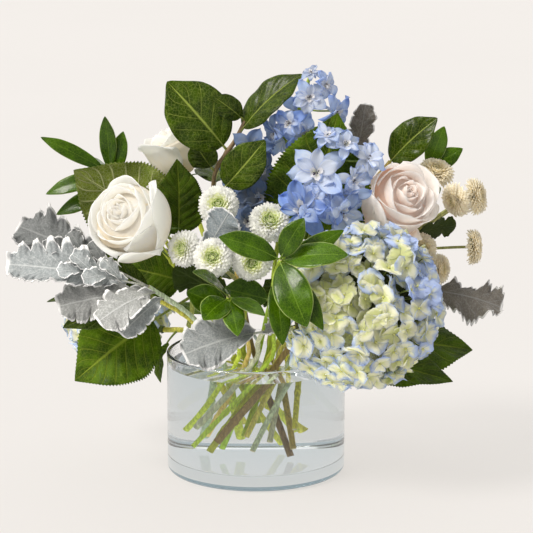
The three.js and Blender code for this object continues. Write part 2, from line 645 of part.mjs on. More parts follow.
const FOLIAGE = {
  salal_top: {
    ring: "inner", bearing: 110, foot: 16, radius: 2.5, kind: "salal",
    path: [[-16, 26, 160], [-34, 26, 218], [-34, 10, 256], [-17, 6, 284], [-9, 6, 300]],
    shoots: [{ from: 0.6, path: [[-34, -6, 240], [-26, -26, 249]], radius: 1.4 }],
    leaves: [
      { t: 0.84, tip: [-74, 2, 334], width: 54, face: [0.1, -1, 0.3], arch: 0.07, stalk: 0.08 },
      { t: 0.93, tip: [39, 4, 340], width: 34, face: [-0.5, -0.7, 0.6], arch: 0.08, stalk: 0.1 },
      { t: 1, tip: [-36, 0, 322], width: 20, face: [0, -0.9, 0.4], arch: 0.1, stalk: 0.15 },
      { on: 1, t: 0.97, tip: [8, -36, 291], width: 34, face: [0.1, -0.9, 0.2], arch: 0.1, stalk: 0.06 },
      { t: 0.26, tip: [-44, -34, 178], width: 36, face: [0, -0.9, 0.4], arch: 0.08, stalk: 0.2 },
      { t: 0.72, tip: [-52, 0, 284], width: 26, face: [-0.3, -1, 0.1], arch: 0.05, stalk: 0.2 },
      { t: 0.6, tip: [-26, 92, 250], width: 44, face: [0, 0.6, 0.8], arch: 0.1, stalk: 0.2 },
      { t: 0.45, tip: [22, 96, 214], width: 46, face: [0.1, 0.6, 0.8], arch: 0.1, stalk: 0.15 },
    ],
  },
  salal_right: {
    ring: "middle", bearing: 60, foot: 26, radius: 2.4, kind: "salal",
    path: [[36, 40, 160], [78, 36, 215], [114, 26, 262]],
    leaves: [
      { t: 0.97, tip: [153, 16, 301], width: 34, face: [-0.2, -0.8, 0.5], arch: 0.07, stalk: 0.1 },
      { t: 0.75, tip: [128, 80, 228], width: 42, face: [0.3, 0.5, 0.8], arch: 0.1, stalk: 0.15 },
      { t: 0.6, tip: [60, 100, 206], width: 44, face: [0.1, 0.6, 0.8], arch: 0.1, stalk: 0.15 },
    ],
  },
  salal_left: {
    ring: "outer", bearing: 185, foot: 36, radius: 2.4, kind: "salal",
    path: [[-58, -16, 136], [-84, -32, 156]],
    leaves: [
      { t: 0.95, tip: [-160, -52, 136], width: 34, face: [-0.1, -0.6, 0.8], arch: 0.05, stalk: 0.1 },
      { t: 0.99, tip: [-176, -18, 150], width: 26, face: [-0.2, -0.3, 0.9], arch: 0.08, stalk: 0.1 },
      { t: 1, tip: [-146, -34, 204], width: 26, face: [-0.3, -0.8, 0.3], arch: 0.06, stalk: 0.1 },
    ],
  },
  ruscus_front: {
    ring: "outer", bearing: 295, foot: 26, radius: 2.2, kind: "ruscus",
    path: [[14, -62, 150], [15, -100, 188], [20, -120, 209]],
    leaves: [
      { t: 0.99, tip: [-29, -124, 228], width: 22, face: [0, -0.8, 0.6], arch: 0.1, stalk: 0.06 },
      { t: 1, tip: [39, -122, 243], width: 19, face: [-0.2, -0.9, 0.3], arch: 0.1, stalk: 0.06 },
      { t: 0.98, tip: [41, -152, 161], width: 30, face: [-0.1, -0.9, 0.35], arch: 0.1, stalk: 0.06 },
      { t: 0.97, tip: [74, -132, 215], width: 24, face: [0.2, -0.7, 0.7], arch: 0.08, stalk: 0.08 },
      { t: 0.9, tip: [71, -112, 231], width: 16, face: [0.2, -0.9, 0.4], arch: 0.06, stalk: 0.1 },
      { t: 0.88, tip: [54, -150, 158], width: 20, face: [0.3, -0.9, 0.2], arch: 0.12, stalk: 0.1 },
      { t: 0.45, tip: [-26, -64, 172], width: 26, face: [0, -0.9, 0.3], arch: 0.04, stalk: 0.1 },
      { t: 0.8, tip: [22, -136, 142], width: 18, face: [0, -0.8, 0.6], arch: 0.08, stalk: 0.1 },
    ],
  },
  ruscus_centre: {
    ring: "outer", bearing: 245, foot: 32, radius: 2.2, kind: "ruscus",
    path: [[-20, -62, 145], [-22, -92, 172]],
    leaves: [
      { t: 1, tip: [-50, -126, 200], width: 18, face: [0, -0.6, 0.8], arch: 0.08, stalk: 0.08 },
      { t: 0.95, tip: [-42, -116, 158], width: 24, face: [-0.3, -0.9, 0.3], arch: 0.1, stalk: 0.1 },
      { t: 0.7, tip: [-56, -84, 174], width: 24, face: [-0.1, -0.9, 0.4], arch: 0.06, stalk: 0.1 },
      { t: 0.98, tip: [8, -118, 162], width: 14, face: [0, -0.5, 0.9], arch: 0.06, stalk: 0.1 },
      { t: 0.95, tip: [-14, -126, 147], width: 18, face: [0.1, -0.9, 0.3], arch: 0.08, stalk: 0.1 },
    ],
  },
  ruscus_left: {
    ring: "middle", bearing: 172, foot: 18, radius: 2.2, kind: "ruscus",
    path: [[-58, 22, 160], [-96, 22, 224], [-126, 16, 256]],
    leaves: [
      { t: 1, tip: [-182, 20, 284], width: 13, face: [0, -0.9, 0.4], arch: 0.06, stalk: 0.06 },
      { t: 0.98, tip: [-127, 12, 303], width: 15, face: [-0.3, -0.9, 0], arch: -0.05, stalk: 0.06 },
      { t: 0.94, tip: [-112, 20, 289], width: 15, face: [-0.2, -0.9, 0.1], arch: 0.06, stalk: 0.08 },
      { t: 0.96, tip: [-178, 14, 236], width: 15, face: [-0.1, -0.8, 0.5], arch: 0.1, stalk: 0.06 },
      { t: 0.88, tip: [-170, 20, 217], width: 16, face: [-0.1, -0.8, 0.5], arch: 0.06, stalk: 0.06 },
      { t: 0.9, tip: [-150, 34, 268], width: 20, face: [-0.2, 0.3, 0.9], arch: 0.08, stalk: 0.08 },
      { t: 0.8, tip: [-104, 70, 246], width: 22, face: [0, 0.6, 0.8], arch: 0.08, stalk: 0.08 },
    ],
  },
  ruscus_right: {
    ring: "outer", bearing: 37, foot: 44, radius: 2.2, kind: "ruscus",
    path: [[72, 52, 160], [122, 58, 220], [147, 48, 252]],
    leaves: [
      { t: 1, tip: [161, 46, 289], width: 17, face: [0, -0.9, 0.2], arch: 0.06, stalk: 0.06 },
      { t: 0.97, tip: [177, 44, 270], width: 17, face: [0, -0.9, 0.4], arch: 0.06, stalk: 0.06 },
      { t: 0.85, tip: [160, 88, 222], width: 22, face: [0.3, 0.5, 0.8], arch: 0.1, stalk: 0.06 },
      { t: 0.7, tip: [96, 104, 186], width: 22, face: [0.1, 0.7, 0.7], arch: 0.1, stalk: 0.06 },
      { t: 0.6, tip: [140, 66, 158], width: 22, face: [0.4, 0.2, 0.9], arch: 0.1, stalk: 0.06 },
    ],
  },
  miller_left: {
    ring: "outer", bearing: 215, foot: 22, radius: 2.6, kind: "miller",
    path: [[-56, -52, 148], [-88, -66, 174]],
    leaves: [
      { t: 1, tip: [-205, -62, 192], width: 38, face: [0, -0.7, 0.7], arch: 0.05, stalk: 0.15 },
      { t: 0.97, tip: [-198, -30, 218], width: 40, face: [0.1, -0.8, 0.5], arch: 0.05, stalk: 0.3 },
      { t: 0.94, tip: [-162, -78, 160], width: 32, face: [0, -0.8, 0.5], arch: 0.06, stalk: 0.1 },
      { t: 0.9, tip: [-128, -94, 151], width: 32, face: [-0.2, -0.9, 0.4], arch: 0.16, stalk: 0.1 },
      { t: 0.8, tip: [-110, -88, 139], width: 22, face: [-0.1, -0.9, 0.3], arch: 0.14, stalk: 0.1 },
    ],
  },
  miller_centre: {
    ring: "outer", bearing: 272, foot: 40, radius: 2.6, kind: "miller",
    path: [[2, -62, 126], [6, -84, 140]],
    shoots: [{ from: 0.5, path: [[-16, -48, 152], [-37, -70, 190], [-40, -74, 206]], radius: 1.3 }],
    leaves: [
      { on: 1, t: 1, tip: [-21, -87, 241], width: 27, face: [0.1, -0.9, 0.4], arch: 0.05, stalk: 0.06 },
      { t: 1, tip: [-58, -120, 130], width: 40, face: [-0.1, -0.8, 0.6], arch: 0.08, stalk: 0.12 },
      { t: 0.95, tip: [17, -102, 150], width: 14, face: [0, -0.8, 0.6], arch: 0.05, stalk: 0.2 },
    ],
  },
  miller_top: {
    ring: "middle", bearing: 25, foot: 34, radius: 2.3, kind: "miller",
    path: [[46, 26, 176], [82, 32, 246]],
    leaves: [
      { t: 0.98, tip: [93, 26, 312], width: 20, face: [0.2, -0.9, 0.1], arch: 0.03, stalk: 0.2 },
      { t: 0.7, tip: [84, 92, 250], width: 32, face: [0.1, 0.6, 0.7], arch: 0.08, stalk: 0.15 },
    ],
  },
  miller_right: {
    ring: "outer", bearing: -3, foot: 30, radius: 2.4, kind: "miller",
    path: [[78, 10, 128], [124, 10, 152]],
    leaves: [
      { t: 1, tip: [209, -4, 141], width: 34, face: [0.2, -0.6, 0.8], arch: 0.1, stalk: 0.15 },
      { t: 0.8, tip: [168, 46, 134], width: 32, face: [0.2, 0.4, 0.9], arch: 0.08, stalk: 0.15 },
    ],
  },
};

// ---------------------------------------------------------------- the nodes, by name

// What must keep its whole shape comes first: a later node gives way to the earlier ones.
const nodes = [];
const add = (name, pieces, look) => nodes.push({ name, body: oneBody(join(pieces), name), look });

for (const [side, head] of Object.entries(HYDRANGEAS)) {
  add(`hydrangea_head_${side}`, mophead(head), COLOURS.hydrangea);
}
for (const [side, bloom] of Object.entries(ROSES)) {
  add(`rose_bloom_${side}`, rose(bloom), side === "right" ? COLOURS.blush : COLOURS.white);
}
for (const [place, head] of Object.entries(MUMS)) {
  add(`mum_head_${place}`, mum(head), COLOURS.mum);
}
for (const [name, stem] of Object.entries(FLOWER_STEMS)) {
  const path = stem.bloom ? [...stem.path, below(stem.bloom, GAP + CALYX_DEPTH / 2)] : stem.path;
  const { pieces } = growStem({ ...stem, path });
  const calyx = stem.bloom ? [cup(stem.bloom), ...sepals(stem.bloom)] : [];
  add(name, [...pieces, ...calyx], stem.bloom ? COLOURS.stem : COLOURS.leaf);
}
for (const [name, spray] of Object.entries(SPRAYS)) {
  const shoots = spray.heads.map((place, i) => {
    const head = MUMS[place];
    const path = [...(head.via ?? []), below(head, STALK_RUN), below(head, GAP)];
    return { from: 0.95 - 0.06 * i, path, radius: 1.3 };
  });
  add(name, growStem({ ...spray, shoots }).pieces, COLOURS.stem);
}
Object.entries(DELPHINIUMS).forEach(([name, spike], i) => {
  const draw = seeded(31 + i);
  const { pieces, lines } = growStem(spike);
  spike.florets.forEach(([spot, look, radius]) => {
    const centre = at(spot);
    const behind = centre.clone().addScaledVector(at(look).normalize(), -radius * 0.3);
    const low = centre.clone().addScaledVector(UP, -PEDICEL_DROP);
    const form = { shape: POINTED_PETAL, lobes: 5, radius, cup: 3, root: 7, draw };
    pieces.push(solid(aimed(star(form), centre, at(look), draw())));
    pieces.push(tube([nearestOn(lines[0], low), behind], 1, 3));
  });
  add(name, pieces, COLOURS.delphinium);
});
for (const [name, branch] of Object.entries(FOLIAGE)) {
  add(name, growStem(branch).pieces, COLOURS[branch.kind]);
}

// The whole node with GAP all round it, as far as its corners need.
function grown(body) {
  const corners = [];
  for (const x of [-GAP, GAP]) {
    for (const y of [-GAP, GAP]) {
      for (const z of [-GAP, GAP]) {
        corners.push(body.translate([x, y, z]));
      }
    }
  }
  return join(corners);
}

// Where two nodes would still cross, the later one is cut clear of the earlier one.
function settle(list) {
  for (let later = 1; later < list.length; later += 1) {
    for (let earlier = 0; earlier < later; earlier += 1) {
      const kept = list[earlier].body;
      if (kept.intersect(list[later].body).volume() > 0) {
        list[later].body = oneBody(list[later].body.subtract(grown(kept)), list[later].name);
      }
    }
  }
}

settle(nodes);

const group = new THREE.Group();
const stemsInWater = [FLOWER_STEMS, SPRAYS, DELPHINIUMS, FOLIAGE].flatMap((set) => Object.values(set));
group.add(meshOf("vase", vase(), COLOURS.glass));
group.add(meshOf("water", oneBody(water(stemsInWater), "water"), COLOURS.water));
for (const { name, body, look } of nodes) {
  group.add(meshOf(name, body, look));
}

export default group;
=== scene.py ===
"""A mixed bouquet in a clear glass cylinder vase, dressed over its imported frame.

Places and sizes are in millimetres, as in the part, and turn into metres when a piece is built.
The layout repeats the part's: every stem, leaf and head stands where its solid does. One seeded
generator makes all the draws, so their order is part of the look.
"""
import math
from collections import namedtuple
from dataclasses import dataclass

import bpy
import numpy as np
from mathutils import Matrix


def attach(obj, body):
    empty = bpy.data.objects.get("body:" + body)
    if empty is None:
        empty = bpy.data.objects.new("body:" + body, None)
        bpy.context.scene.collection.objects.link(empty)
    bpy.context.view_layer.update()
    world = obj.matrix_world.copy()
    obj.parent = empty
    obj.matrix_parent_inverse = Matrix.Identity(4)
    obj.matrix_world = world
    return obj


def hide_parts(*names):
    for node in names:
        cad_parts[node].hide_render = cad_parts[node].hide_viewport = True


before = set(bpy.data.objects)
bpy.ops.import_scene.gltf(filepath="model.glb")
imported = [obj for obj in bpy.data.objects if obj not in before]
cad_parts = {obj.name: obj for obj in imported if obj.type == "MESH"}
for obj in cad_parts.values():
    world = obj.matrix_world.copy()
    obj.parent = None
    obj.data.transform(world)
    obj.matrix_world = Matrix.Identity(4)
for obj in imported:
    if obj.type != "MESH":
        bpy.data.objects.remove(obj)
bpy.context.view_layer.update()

MM = 0.001
GAP = 0.3  # between the end of a stalk and the head on it
GOLDEN = math.pi * (3 - math.sqrt(5))  # the turn from one floret of a spiral to the next
ANY_TURN = 6.28  # a drawn angle lies between 0 and this
RADIUS, HEIGHT, WALL, BASE = 76, 103.5, 3.5, 13  # of the vase
WATER_LEVEL = 93
WAIST_HEIGHT = 80  # where the stems come closest to the axis
MOUTH_HEIGHT = 106  # up to here they are straight
RINGS = {"outer": (27, 0.75), "middle": (17, 0.55), "inner": (7, 0.35)}  # the distance at the waist, the lean
CALYX_DEPTH = 6
STALK_RUN = 7  # how far a mum's stalk runs straight up to its head
PEDICEL_DROP = 6  # how far below its floret a delphinium's stalk leaves the stem

# ---------------------------------------------------------------- the camera

EYE = (0.009, -2.150, 0.653)
PITCH = 12.5  # degrees below level
LENS = 175.7


def add(name, data):
    thing = bpy.data.objects.new(name, data)
    bpy.context.scene.collection.objects.link(thing)
    return thing


camera = add("camera", bpy.data.cameras.new("camera"))
camera.location = EYE
camera.rotation_euler = (math.radians(90 - PITCH), 0, 0)
camera.data.lens = LENS
camera.data.sensor_width = 36
bpy.context.scene.camera = camera

# ---------------------------------------------------------------- the arrangement, as in the part

Hydrangea = namedtuple("Hydrangea", "centre radius stalk_to")
HYDRANGEAS = {
    "right": Hydrangea((87, -80, 162), 66, (44, -35, 129)),
    "left": Hydrangea((-120, 62, 118), 43, (-80, 41, 111)),
}

# a guard is a large outer petal: the way it faces, its height, its bend and half its width in degrees
Rose = namedtuple("Rose", "base axis radius height open petals guards")
ROSES = {
    "left": Rose((-88, -36, 212), (-0.46, -0.72, 0.52), 38, 61, -0.12, 19,
                 [((0.85, -0.3, 0.4), 0.9, 0.0, 66), ((0.1, -0.6, -0.8), 0.76, 0.12, 38)]),
    "back": Rose((-62, 40, 246), (-0.4, 0, 0.92), 27, 46, 0.2, 13, []),
    "right": Rose((103, 4, 222), (0.46, -0.74, 0.48), 36, 60, -0.12, 19,
                 [((-0.75, -0.6, -0.25), 0.86, 0.06, 66), ((0.35, -0.6, -0.7), 0.74, 0.2, 44)]),
}

# via: where its stalk bends
Mum = namedtuple("Mum", "base axis radius via", defaults=((),))
MUMS = {
    "left_1": Mum((-30, -52, 238), (-0.1, -0.85, 0.5), 17),
    "left_2": Mum((-56, -68, 206), (-0.6, -0.75, 0.25), 15.5),
    "left_3": Mum((-34, -86, 202), (-0.1, -0.9, 0.4), 16.5),
    "left_4": Mum((11, -48, 222), (0.15, -0.7, 0.7), 18),
    "left_5": Mum((-3, -80, 200), (0.1, -0.97, -0.1), 17),
    "right_1": Mum((152, 22, 250), (0.2, -0.4, 0.9), 16),
    "right_2": Mum((171, -5, 236), (-0.75, -0.55, -0.25), 15, ((166, 20, 224), (178, 5, 238))),
    "right_3": Mum((181, 1, 236), (0.85, -0.3, 0.2), 16, ((166, 20, 222), (173, 10, 235))),
    "right_4": Mum((180, 1, 193), (0.97, -0.2, 0.05), 15),
    "right_5": Mum((152, -8, 176), (0.85, -0.5, 0.1), 13),
    "right_6": Mum((139, -7, 194), (0.2, -0.95, 0.2), 13),
}

# each stem: the ring that it passes the mouth in, its bearing, the height of its foot, its radius, its
# colour, what it carries, and its path above the mouth
Stem = namedtuple("Stem", "ring bearing foot radius colour kind path")
STEMS = {
    "hydrangea_stem_right": Stem("outer", -43, 34, 3.4, "#77704e", "hydrangea",
        [(35, -27, 118), (43.4, -34.2, 128.4)]),
    "hydrangea_stem_left": Stem("outer", 150, 28, 3.2, "#b7bf60", "hydrangea",
        [(-60, 30, 113), (-80, 41, 111)]),
    "rose_stem_left": Stem("middle", 205, 24, 2.9, "#a4af4f", "rose", [(-42, -18, 142), (-70, -24, 186)]),
    "rose_stem_back": Stem("middle", 140, 32, 2.7, "#bac264", "rose", [(-28, 24, 150), (-48, 36, 205)]),
    "rose_stem_right": Stem("middle", 310, 22, 2.9, "#95a23e", "rose", [(38, -2, 146), (72, 10, 190)]),
    "mum_stem_left": Stem("middle", 255, 30, 2.3, "#c1bf80", "mum", [(-12, -34, 150), (-16, -42, 182)]),
    "mum_stem_right": Stem("middle", 350, 38, 2.3, "#b0b36d", "mum",
        [(60, 6, 140), (106, 16, 178), (134, 20, 208)]),
    "delphinium_tall": Stem("inner", 0, 36, 2.2, "#8ba23c", "delphinium",
        [(14, 4, 160), (22, 6, 220), (28, 5, 277), (40, 5, 322), (45, 4, 337)]),
    "delphinium_front": Stem("inner", 285, 20, 2.2, "#8ba23c", "delphinium",
        [(12, -22, 150), (28, -32, 200), (50, -34, 236), (64, -34, 276)]),
    "delphinium_back": Stem("inner", 200, 42, 2.2, "#8ba23c", "delphinium",
        [(-8, -4, 160), (-4, -2, 220), (-2, 2, 268), (0, 4, 286)]),
    "salal_top": Stem("inner", 110, 16, 2.5, "#665e48", "salal",
        [(-16, 26, 160), (-34, 26, 218), (-34, 10, 256), (-17, 6, 284), (-9, 6, 300)]),
    "salal_right": Stem("middle", 60, 26, 2.4, "#89864d", "salal",
        [(36, 40, 160), (78, 36, 215), (114, 26, 262)]),
    "salal_left": Stem("outer", 185, 36, 2.4, "#c0bc60", "salal", [(-58, -16, 136), (-84, -32, 156)]),
    "ruscus_front": Stem("outer", 295, 26, 2.2, "#a4b74d", "ruscus",
        [(14, -62, 150), (15, -100, 188), (20, -120, 209)]),
    "ruscus_centre": Stem("outer", 245, 32, 2.2, "#b1bf4f", "ruscus", [(-20, -62, 145), (-22, -92, 172)]),
    "ruscus_left": Stem("middle", 172, 18, 2.2, "#aab55e", "ruscus",
        [(-58, 22, 160), (-96, 22, 224), (-126, 16, 256)]),
    "ruscus_right": Stem("outer", 37, 44, 2.2, "#a2b151", "ruscus",
        [(72, 52, 160), (122, 58, 220), (147, 48, 252)]),
    "miller_left": Stem("outer", 215, 22, 2.6, "#a3aeab", "miller", [(-56, -52, 148), (-88, -66, 174)]),
    "miller_centre": Stem("outer", 272, 40, 2.6, "#a7b2af", "miller", [(2, -62, 126), (6, -84, 140)]),
    "miller_top": Stem("middle", 25, 34, 2.3, "#96a19e", "miller", [(46, 26, 176), (82, 32, 246)]),
    "miller_right": Stem("outer", -3, 30, 2.4, "#a3aeab", "miller", [(78, 10, 128), (124, 10, 152)]),
}

# each shoot: the share of its stem where it starts, its radius and its path
SHOOTS = {
    "hydrangea_stem_right": ((0.55, 2.2, [(34, -14, 150), (42, -18, 196)]),),
    "hydrangea_stem_left": ((0.5, 2.2, [(-54, -2, 150), (-66, -3, 200)]),),
    "salal_top": ((0.6, 1.4, [(-34, -6, 240), (-26, -26, 249)]),),
    "miller_centre": ((0.5, 1.3, [(-16, -48, 152), (-37, -70, 190), (-40, -74, 206)]),),
}

# each leaf: 0 for the stem or 1 for its shoot, the share of its length, the tip, the width, the way it
# faces, the arch, and the share that is stalk; then its tone, where it isn't left to the draw. A felted
# leaf's tone is how pale it is, how warm, and how deep it is cut
LEAF_ROWS = {
    "hydrangea_stem_right": [
        (0, 0.5, (185, 2, 103), 80, (0.1, -0.6, 0.8), 0.04, 0.32, 0.3),
        (0, 0.3, (165, -46, 88), 60, (0.15, -0.45, 0.9), 0.02, 0.34, 0.25),
        (1, 0.45, (8, -58, 178), 40, (-0.3, -1, 0.2), 0.04, 0.3, 0.3),
        (1, 0.9, (68, -20, 311), 92, (-0.1, -1, 0.1), 0.04, 0.12, 0.35),
    ],
    "hydrangea_stem_left": [
        (1, 0.95, (-152, -14, 262), 86, (0.1, 1, 0.1), 0.05, 0.1, 0.5),
        (1, 0.98, (-66, -6, 270), 46, (0.3, -1, 0), 0.06, 0.1, 0.0),
        (1, 0.5, (-153, -26, 83), 78, (-0.3, -0.9, 0.35), 0.08, 0.32, 0.9),
        (1, 0.62, (-112, 2, 176), 48, (0, -0.9, 0.4), 0.06, 0.12, 0.25),
        (0, 0.7, (-82, 10, 72), 34, (-1, -0.35, 0.1), 0.14, 0.3, 0.5),
        (0, 0.3, (-34, 122, 112), 60, (0, 0.6, 0.8), 0.12, 0.3, 0.5),
    ],
    "mum_stem_left": [
        (0, 0.5, (-68, -50, 186), 34, (0, -0.9, 0.4), 0.03, 0.15),
    ],
    "mum_stem_right": [
        (0, 0.9, (168, -12, 214), 22, (0, -0.7, 0.7), 0.03, 0.3),
    ],
    "salal_top": [
        (0, 0.84, (-74, 2, 334), 54, (0.1, -1, 0.3), 0.07, 0.08),
        (0, 0.93, (39, 4, 340), 34, (-0.5, -0.7, 0.6), 0.08, 0.1),
        (0, 1, (-36, 0, 322), 20, (0, -0.9, 0.4), 0.1, 0.15),
        (1, 0.97, (8, -36, 291), 34, (0.1, -0.9, 0.2), 0.1, 0.06),
        (0, 0.26, (-44, -34, 178), 36, (0, -0.9, 0.4), 0.08, 0.2),
        (0, 0.72, (-52, 0, 284), 26, (-0.3, -1, 0.1), 0.05, 0.2),
        (0, 0.6, (-26, 92, 250), 44, (0, 0.6, 0.8), 0.1, 0.2),
        (0, 0.45, (22, 96, 214), 46, (0.1, 0.6, 0.8), 0.1, 0.15),
    ],
    "salal_right": [
        (0, 0.97, (153, 16, 301), 34, (-0.2, -0.8, 0.5), 0.07, 0.1),
        (0, 0.75, (128, 80, 228), 42, (0.3, 0.5, 0.8), 0.1, 0.15),
        (0, 0.6, (60, 100, 206), 44, (0.1, 0.6, 0.8), 0.1, 0.15),
    ],
    "salal_left": [
        (0, 0.95, (-160, -52, 136), 34, (-0.1, -0.6, 0.8), 0.05, 0.1),
        (0, 0.99, (-176, -18, 150), 26, (-0.2, -0.3, 0.9), 0.08, 0.1),
        (0, 1, (-146, -34, 204), 26, (-0.3, -0.8, 0.3), 0.06, 0.1),
    ],
    "ruscus_front": [
        (0, 0.99, (-29, -124, 228), 22, (0, -0.8, 0.6), 0.1, 0.06),
        (0, 1, (39, -122, 243), 19, (-0.2, -0.9, 0.3), 0.1, 0.06),
        (0, 0.98, (41, -152, 161), 30, (-0.1, -0.9, 0.35), 0.1, 0.06),
        (0, 0.97, (74, -132, 215), 24, (0.2, -0.7, 0.7), 0.08, 0.08),
        (0, 0.9, (71, -112, 231), 16, (0.2, -0.9, 0.4), 0.06, 0.1),
        (0, 0.88, (54, -150, 158), 20, (0.3, -0.9, 0.2), 0.12, 0.1),
        (0, 0.45, (-26, -64, 172), 26, (0, -0.9, 0.3), 0.04, 0.1),
        (0, 0.8, (22, -136, 142), 18, (0, -0.8, 0.6), 0.08, 0.1),
    ],
    "ruscus_centre": [
        (0, 1, (-50, -126, 200), 18, (0, -0.6, 0.8), 0.08, 0.08),
        (0, 0.95, (-42, -116, 158), 24, (-0.3, -0.9, 0.3), 0.1, 0.1),
        (0, 0.7, (-56, -84, 174), 24, (-0.1, -0.9, 0.4), 0.06, 0.1),
        (0, 0.98, (8, -118, 162), 14, (0, -0.5, 0.9), 0.06, 0.1),
        (0, 0.95, (-14, -126, 147), 18, (0.1, -0.9, 0.3), 0.08, 0.1),
    ],
    "ruscus_left": [
        (0, 1, (-182, 20, 284), 13, (0, -0.9, 0.4), 0.06, 0.06),
        (0, 0.98, (-127, 12, 303), 15, (-0.3, -0.9, 0), -0.05, 0.06),
        (0, 0.94, (-112, 20, 289), 15, (-0.2, -0.9, 0.1), 0.06, 0.08),
        (0, 0.96, (-178, 14, 236), 15, (-0.1, -0.8, 0.5), 0.1, 0.06),
        (0, 0.88, (-170, 20, 217), 16, (-0.1, -0.8, 0.5), 0.06, 0.06),
        (0, 0.9, (-150, 34, 268), 20, (-0.2, 0.3, 0.9), 0.08, 0.08),
        (0, 0.8, (-104, 70, 246), 22, (0, 0.6, 0.8), 0.08, 0.08),
    ],
    "ruscus_right": [
        (0, 1, (161, 46, 289), 17, (0, -0.9, 0.2), 0.06, 0.06),
        (0, 0.97, (177, 44, 270), 17, (0, -0.9, 0.4), 0.06, 0.06),
        (0, 0.85, (160, 88, 222), 22, (0.3, 0.5, 0.8), 0.1, 0.06),
        (0, 0.7, (96, 104, 186), 22, (0.1, 0.7, 0.7), 0.1, 0.06),
        (0, 0.6, (140, 66, 158), 22, (0.4, 0.2, 0.9), 0.1, 0.06),
    ],
    "miller_left": [
        (0, 1, (-205, -62, 192), 38, (0, -0.7, 0.7), 0.05, 0.15, (0.85, 0.3, 0.45)),
        (0, 0.97, (-198, -30, 218), 40, (0.1, -0.8, 0.5), 0.05, 0.3, (0.22, 0.4, 0.3)),
        (0, 0.94, (-162, -78, 160), 32, (0, -0.8, 0.5), 0.06, 0.1, (0.6, 0.5, 0.4)),
        (0, 0.9, (-128, -94, 151), 32, (-0.2, -0.9, 0.4), 0.16, 0.1, (0.9, 0.5, 0.4)),
        (0, 0.8, (-110, -88, 139), 22, (-0.1, -0.9, 0.3), 0.14, 0.1, (0.8, 0.3, 0.3)),
    ],
    "miller_centre": [
        (1, 1, (-21, -87, 241), 27, (0.1, -0.9, 0.4), 0.05, 0.06, (0.6, 0.1, 0.3)),
        (0, 1, (-58, -120, 130), 40, (-0.1, -0.8, 0.6), 0.08, 0.12, (0.58, 0.35, 0.28)),
        (0, 0.95, (17, -102, 150), 14, (0, -0.8, 0.6), 0.05, 0.2, (0.6, 0.5, 0.3)),
    ],
    "miller_top": [
        (0, 0.98, (93, 26, 312), 20, (0.2, -0.9, 0.1), 0.03, 0.2, (0.08, 0.9, 0.3)),
        (0, 0.7, (84, 92, 250), 32, (0.1, 0.6, 0.7), 0.08, 0.15, (0.3, 0.8, 0.3)),
    ],
    "miller_right": [
        (0, 1, (209, -4, 141), 34, (0.2, -0.6, 0.8), 0.1, 0.15, (0.12, 0.95, 0.22)),
        (0, 0.8, (168, 46, 134), 32, (0.2, 0.4, 0.9), 0.08, 0.15, (0.2, 0.8, 0.3)),
    ],
}

# each floret: where it sits, the way it looks, and its radius
FLORETS = {
    "delphinium_tall": [
        ((46, -2, 341), (0, -0.4, 1), 8), ((57, -3, 331), (0.8, -0.6, 0.2), 10),
        ((45, -8, 322), (0, -1, 0.2), 11), ((65, -4, 309), (0.7, -0.6, -0.2), 12),
        ((29, -6, 300), (-0.5, -0.9, 0.1), 11), ((18, 2, 290), (-0.9, -0.4, 0), 11),
        ((40, -9, 292), (0.4, -1, -0.1), 11), ((34, 20, 306), (0, 1, 0.2), 12),
        ((24, 22, 282), (-0.3, 1, 0), 12),
    ],
    "delphinium_front": [
        ((50, -54, 267), (-0.1, -1, 0.25), 18), ((38, -66, 237), (-0.2, -0.9, 0.45), 17),
        ((54, -60, 250), (0.2, -1, 0), 12), ((70, -58, 235), (0.4, -0.9, -0.2), 14),
        ((80, -50, 259), (0.5, -0.8, 0.2), 11), ((92, -42, 276), (0.5, -0.7, 0.5), 12),
        ((74, -44, 288), (0.1, -0.8, 0.6), 10), ((60, -40, 294), (-0.2, -0.5, 0.8), 10),
    ],
    "delphinium_back": [
        ((-3, -10, 279), (-0.2, -1, 0.3), 13), ((-12, -8, 254), (-0.4, -0.9, 0), 12),
        ((2, -18, 240), (0.1, -1, 0), 13), ((-6, -20, 220), (-0.2, -1, -0.1), 12),
        ((4, -14, 262), (0.3, -1, 0.2), 11), ((-16, 14, 252), (-0.6, 1, 0), 13),
        ((6, 20, 246), (0.3, 1, 0), 13), ((-2, 20, 270), (0, 1, 0.3), 12),
    ],
}

# ---------------------------------------------------------------- vectors, curves and sheets


def unit(vector):
    vector = np.asarray(vector, float)
    return vector / np.linalg.norm(vector, axis=-1, keepdims=True)


def smooth(value, low=0.0, high=1.0):
    """0 below low, 1 above high, and a soft step between them."""
    share = np.clip((value - low) / (high - low), 0, 1)
    return share * share * (3 - 2 * share)


def upright(axis, spin=0.0):
    """The turn that takes +Z to the axis by the shortest way, after a spin about +Z."""
    x, y, z = unit(axis)
    cross = np.array([[0, 0, x], [0, 0, y], [-x, -y, 0]])
    turn = np.eye(3) + cross + cross @ cross / (1 + z)
    c, s = math.cos(spin), math.sin(spin)
    return turn @ np.array([[c, -s, 0], [s, c, 0], [0, 0, 1]])


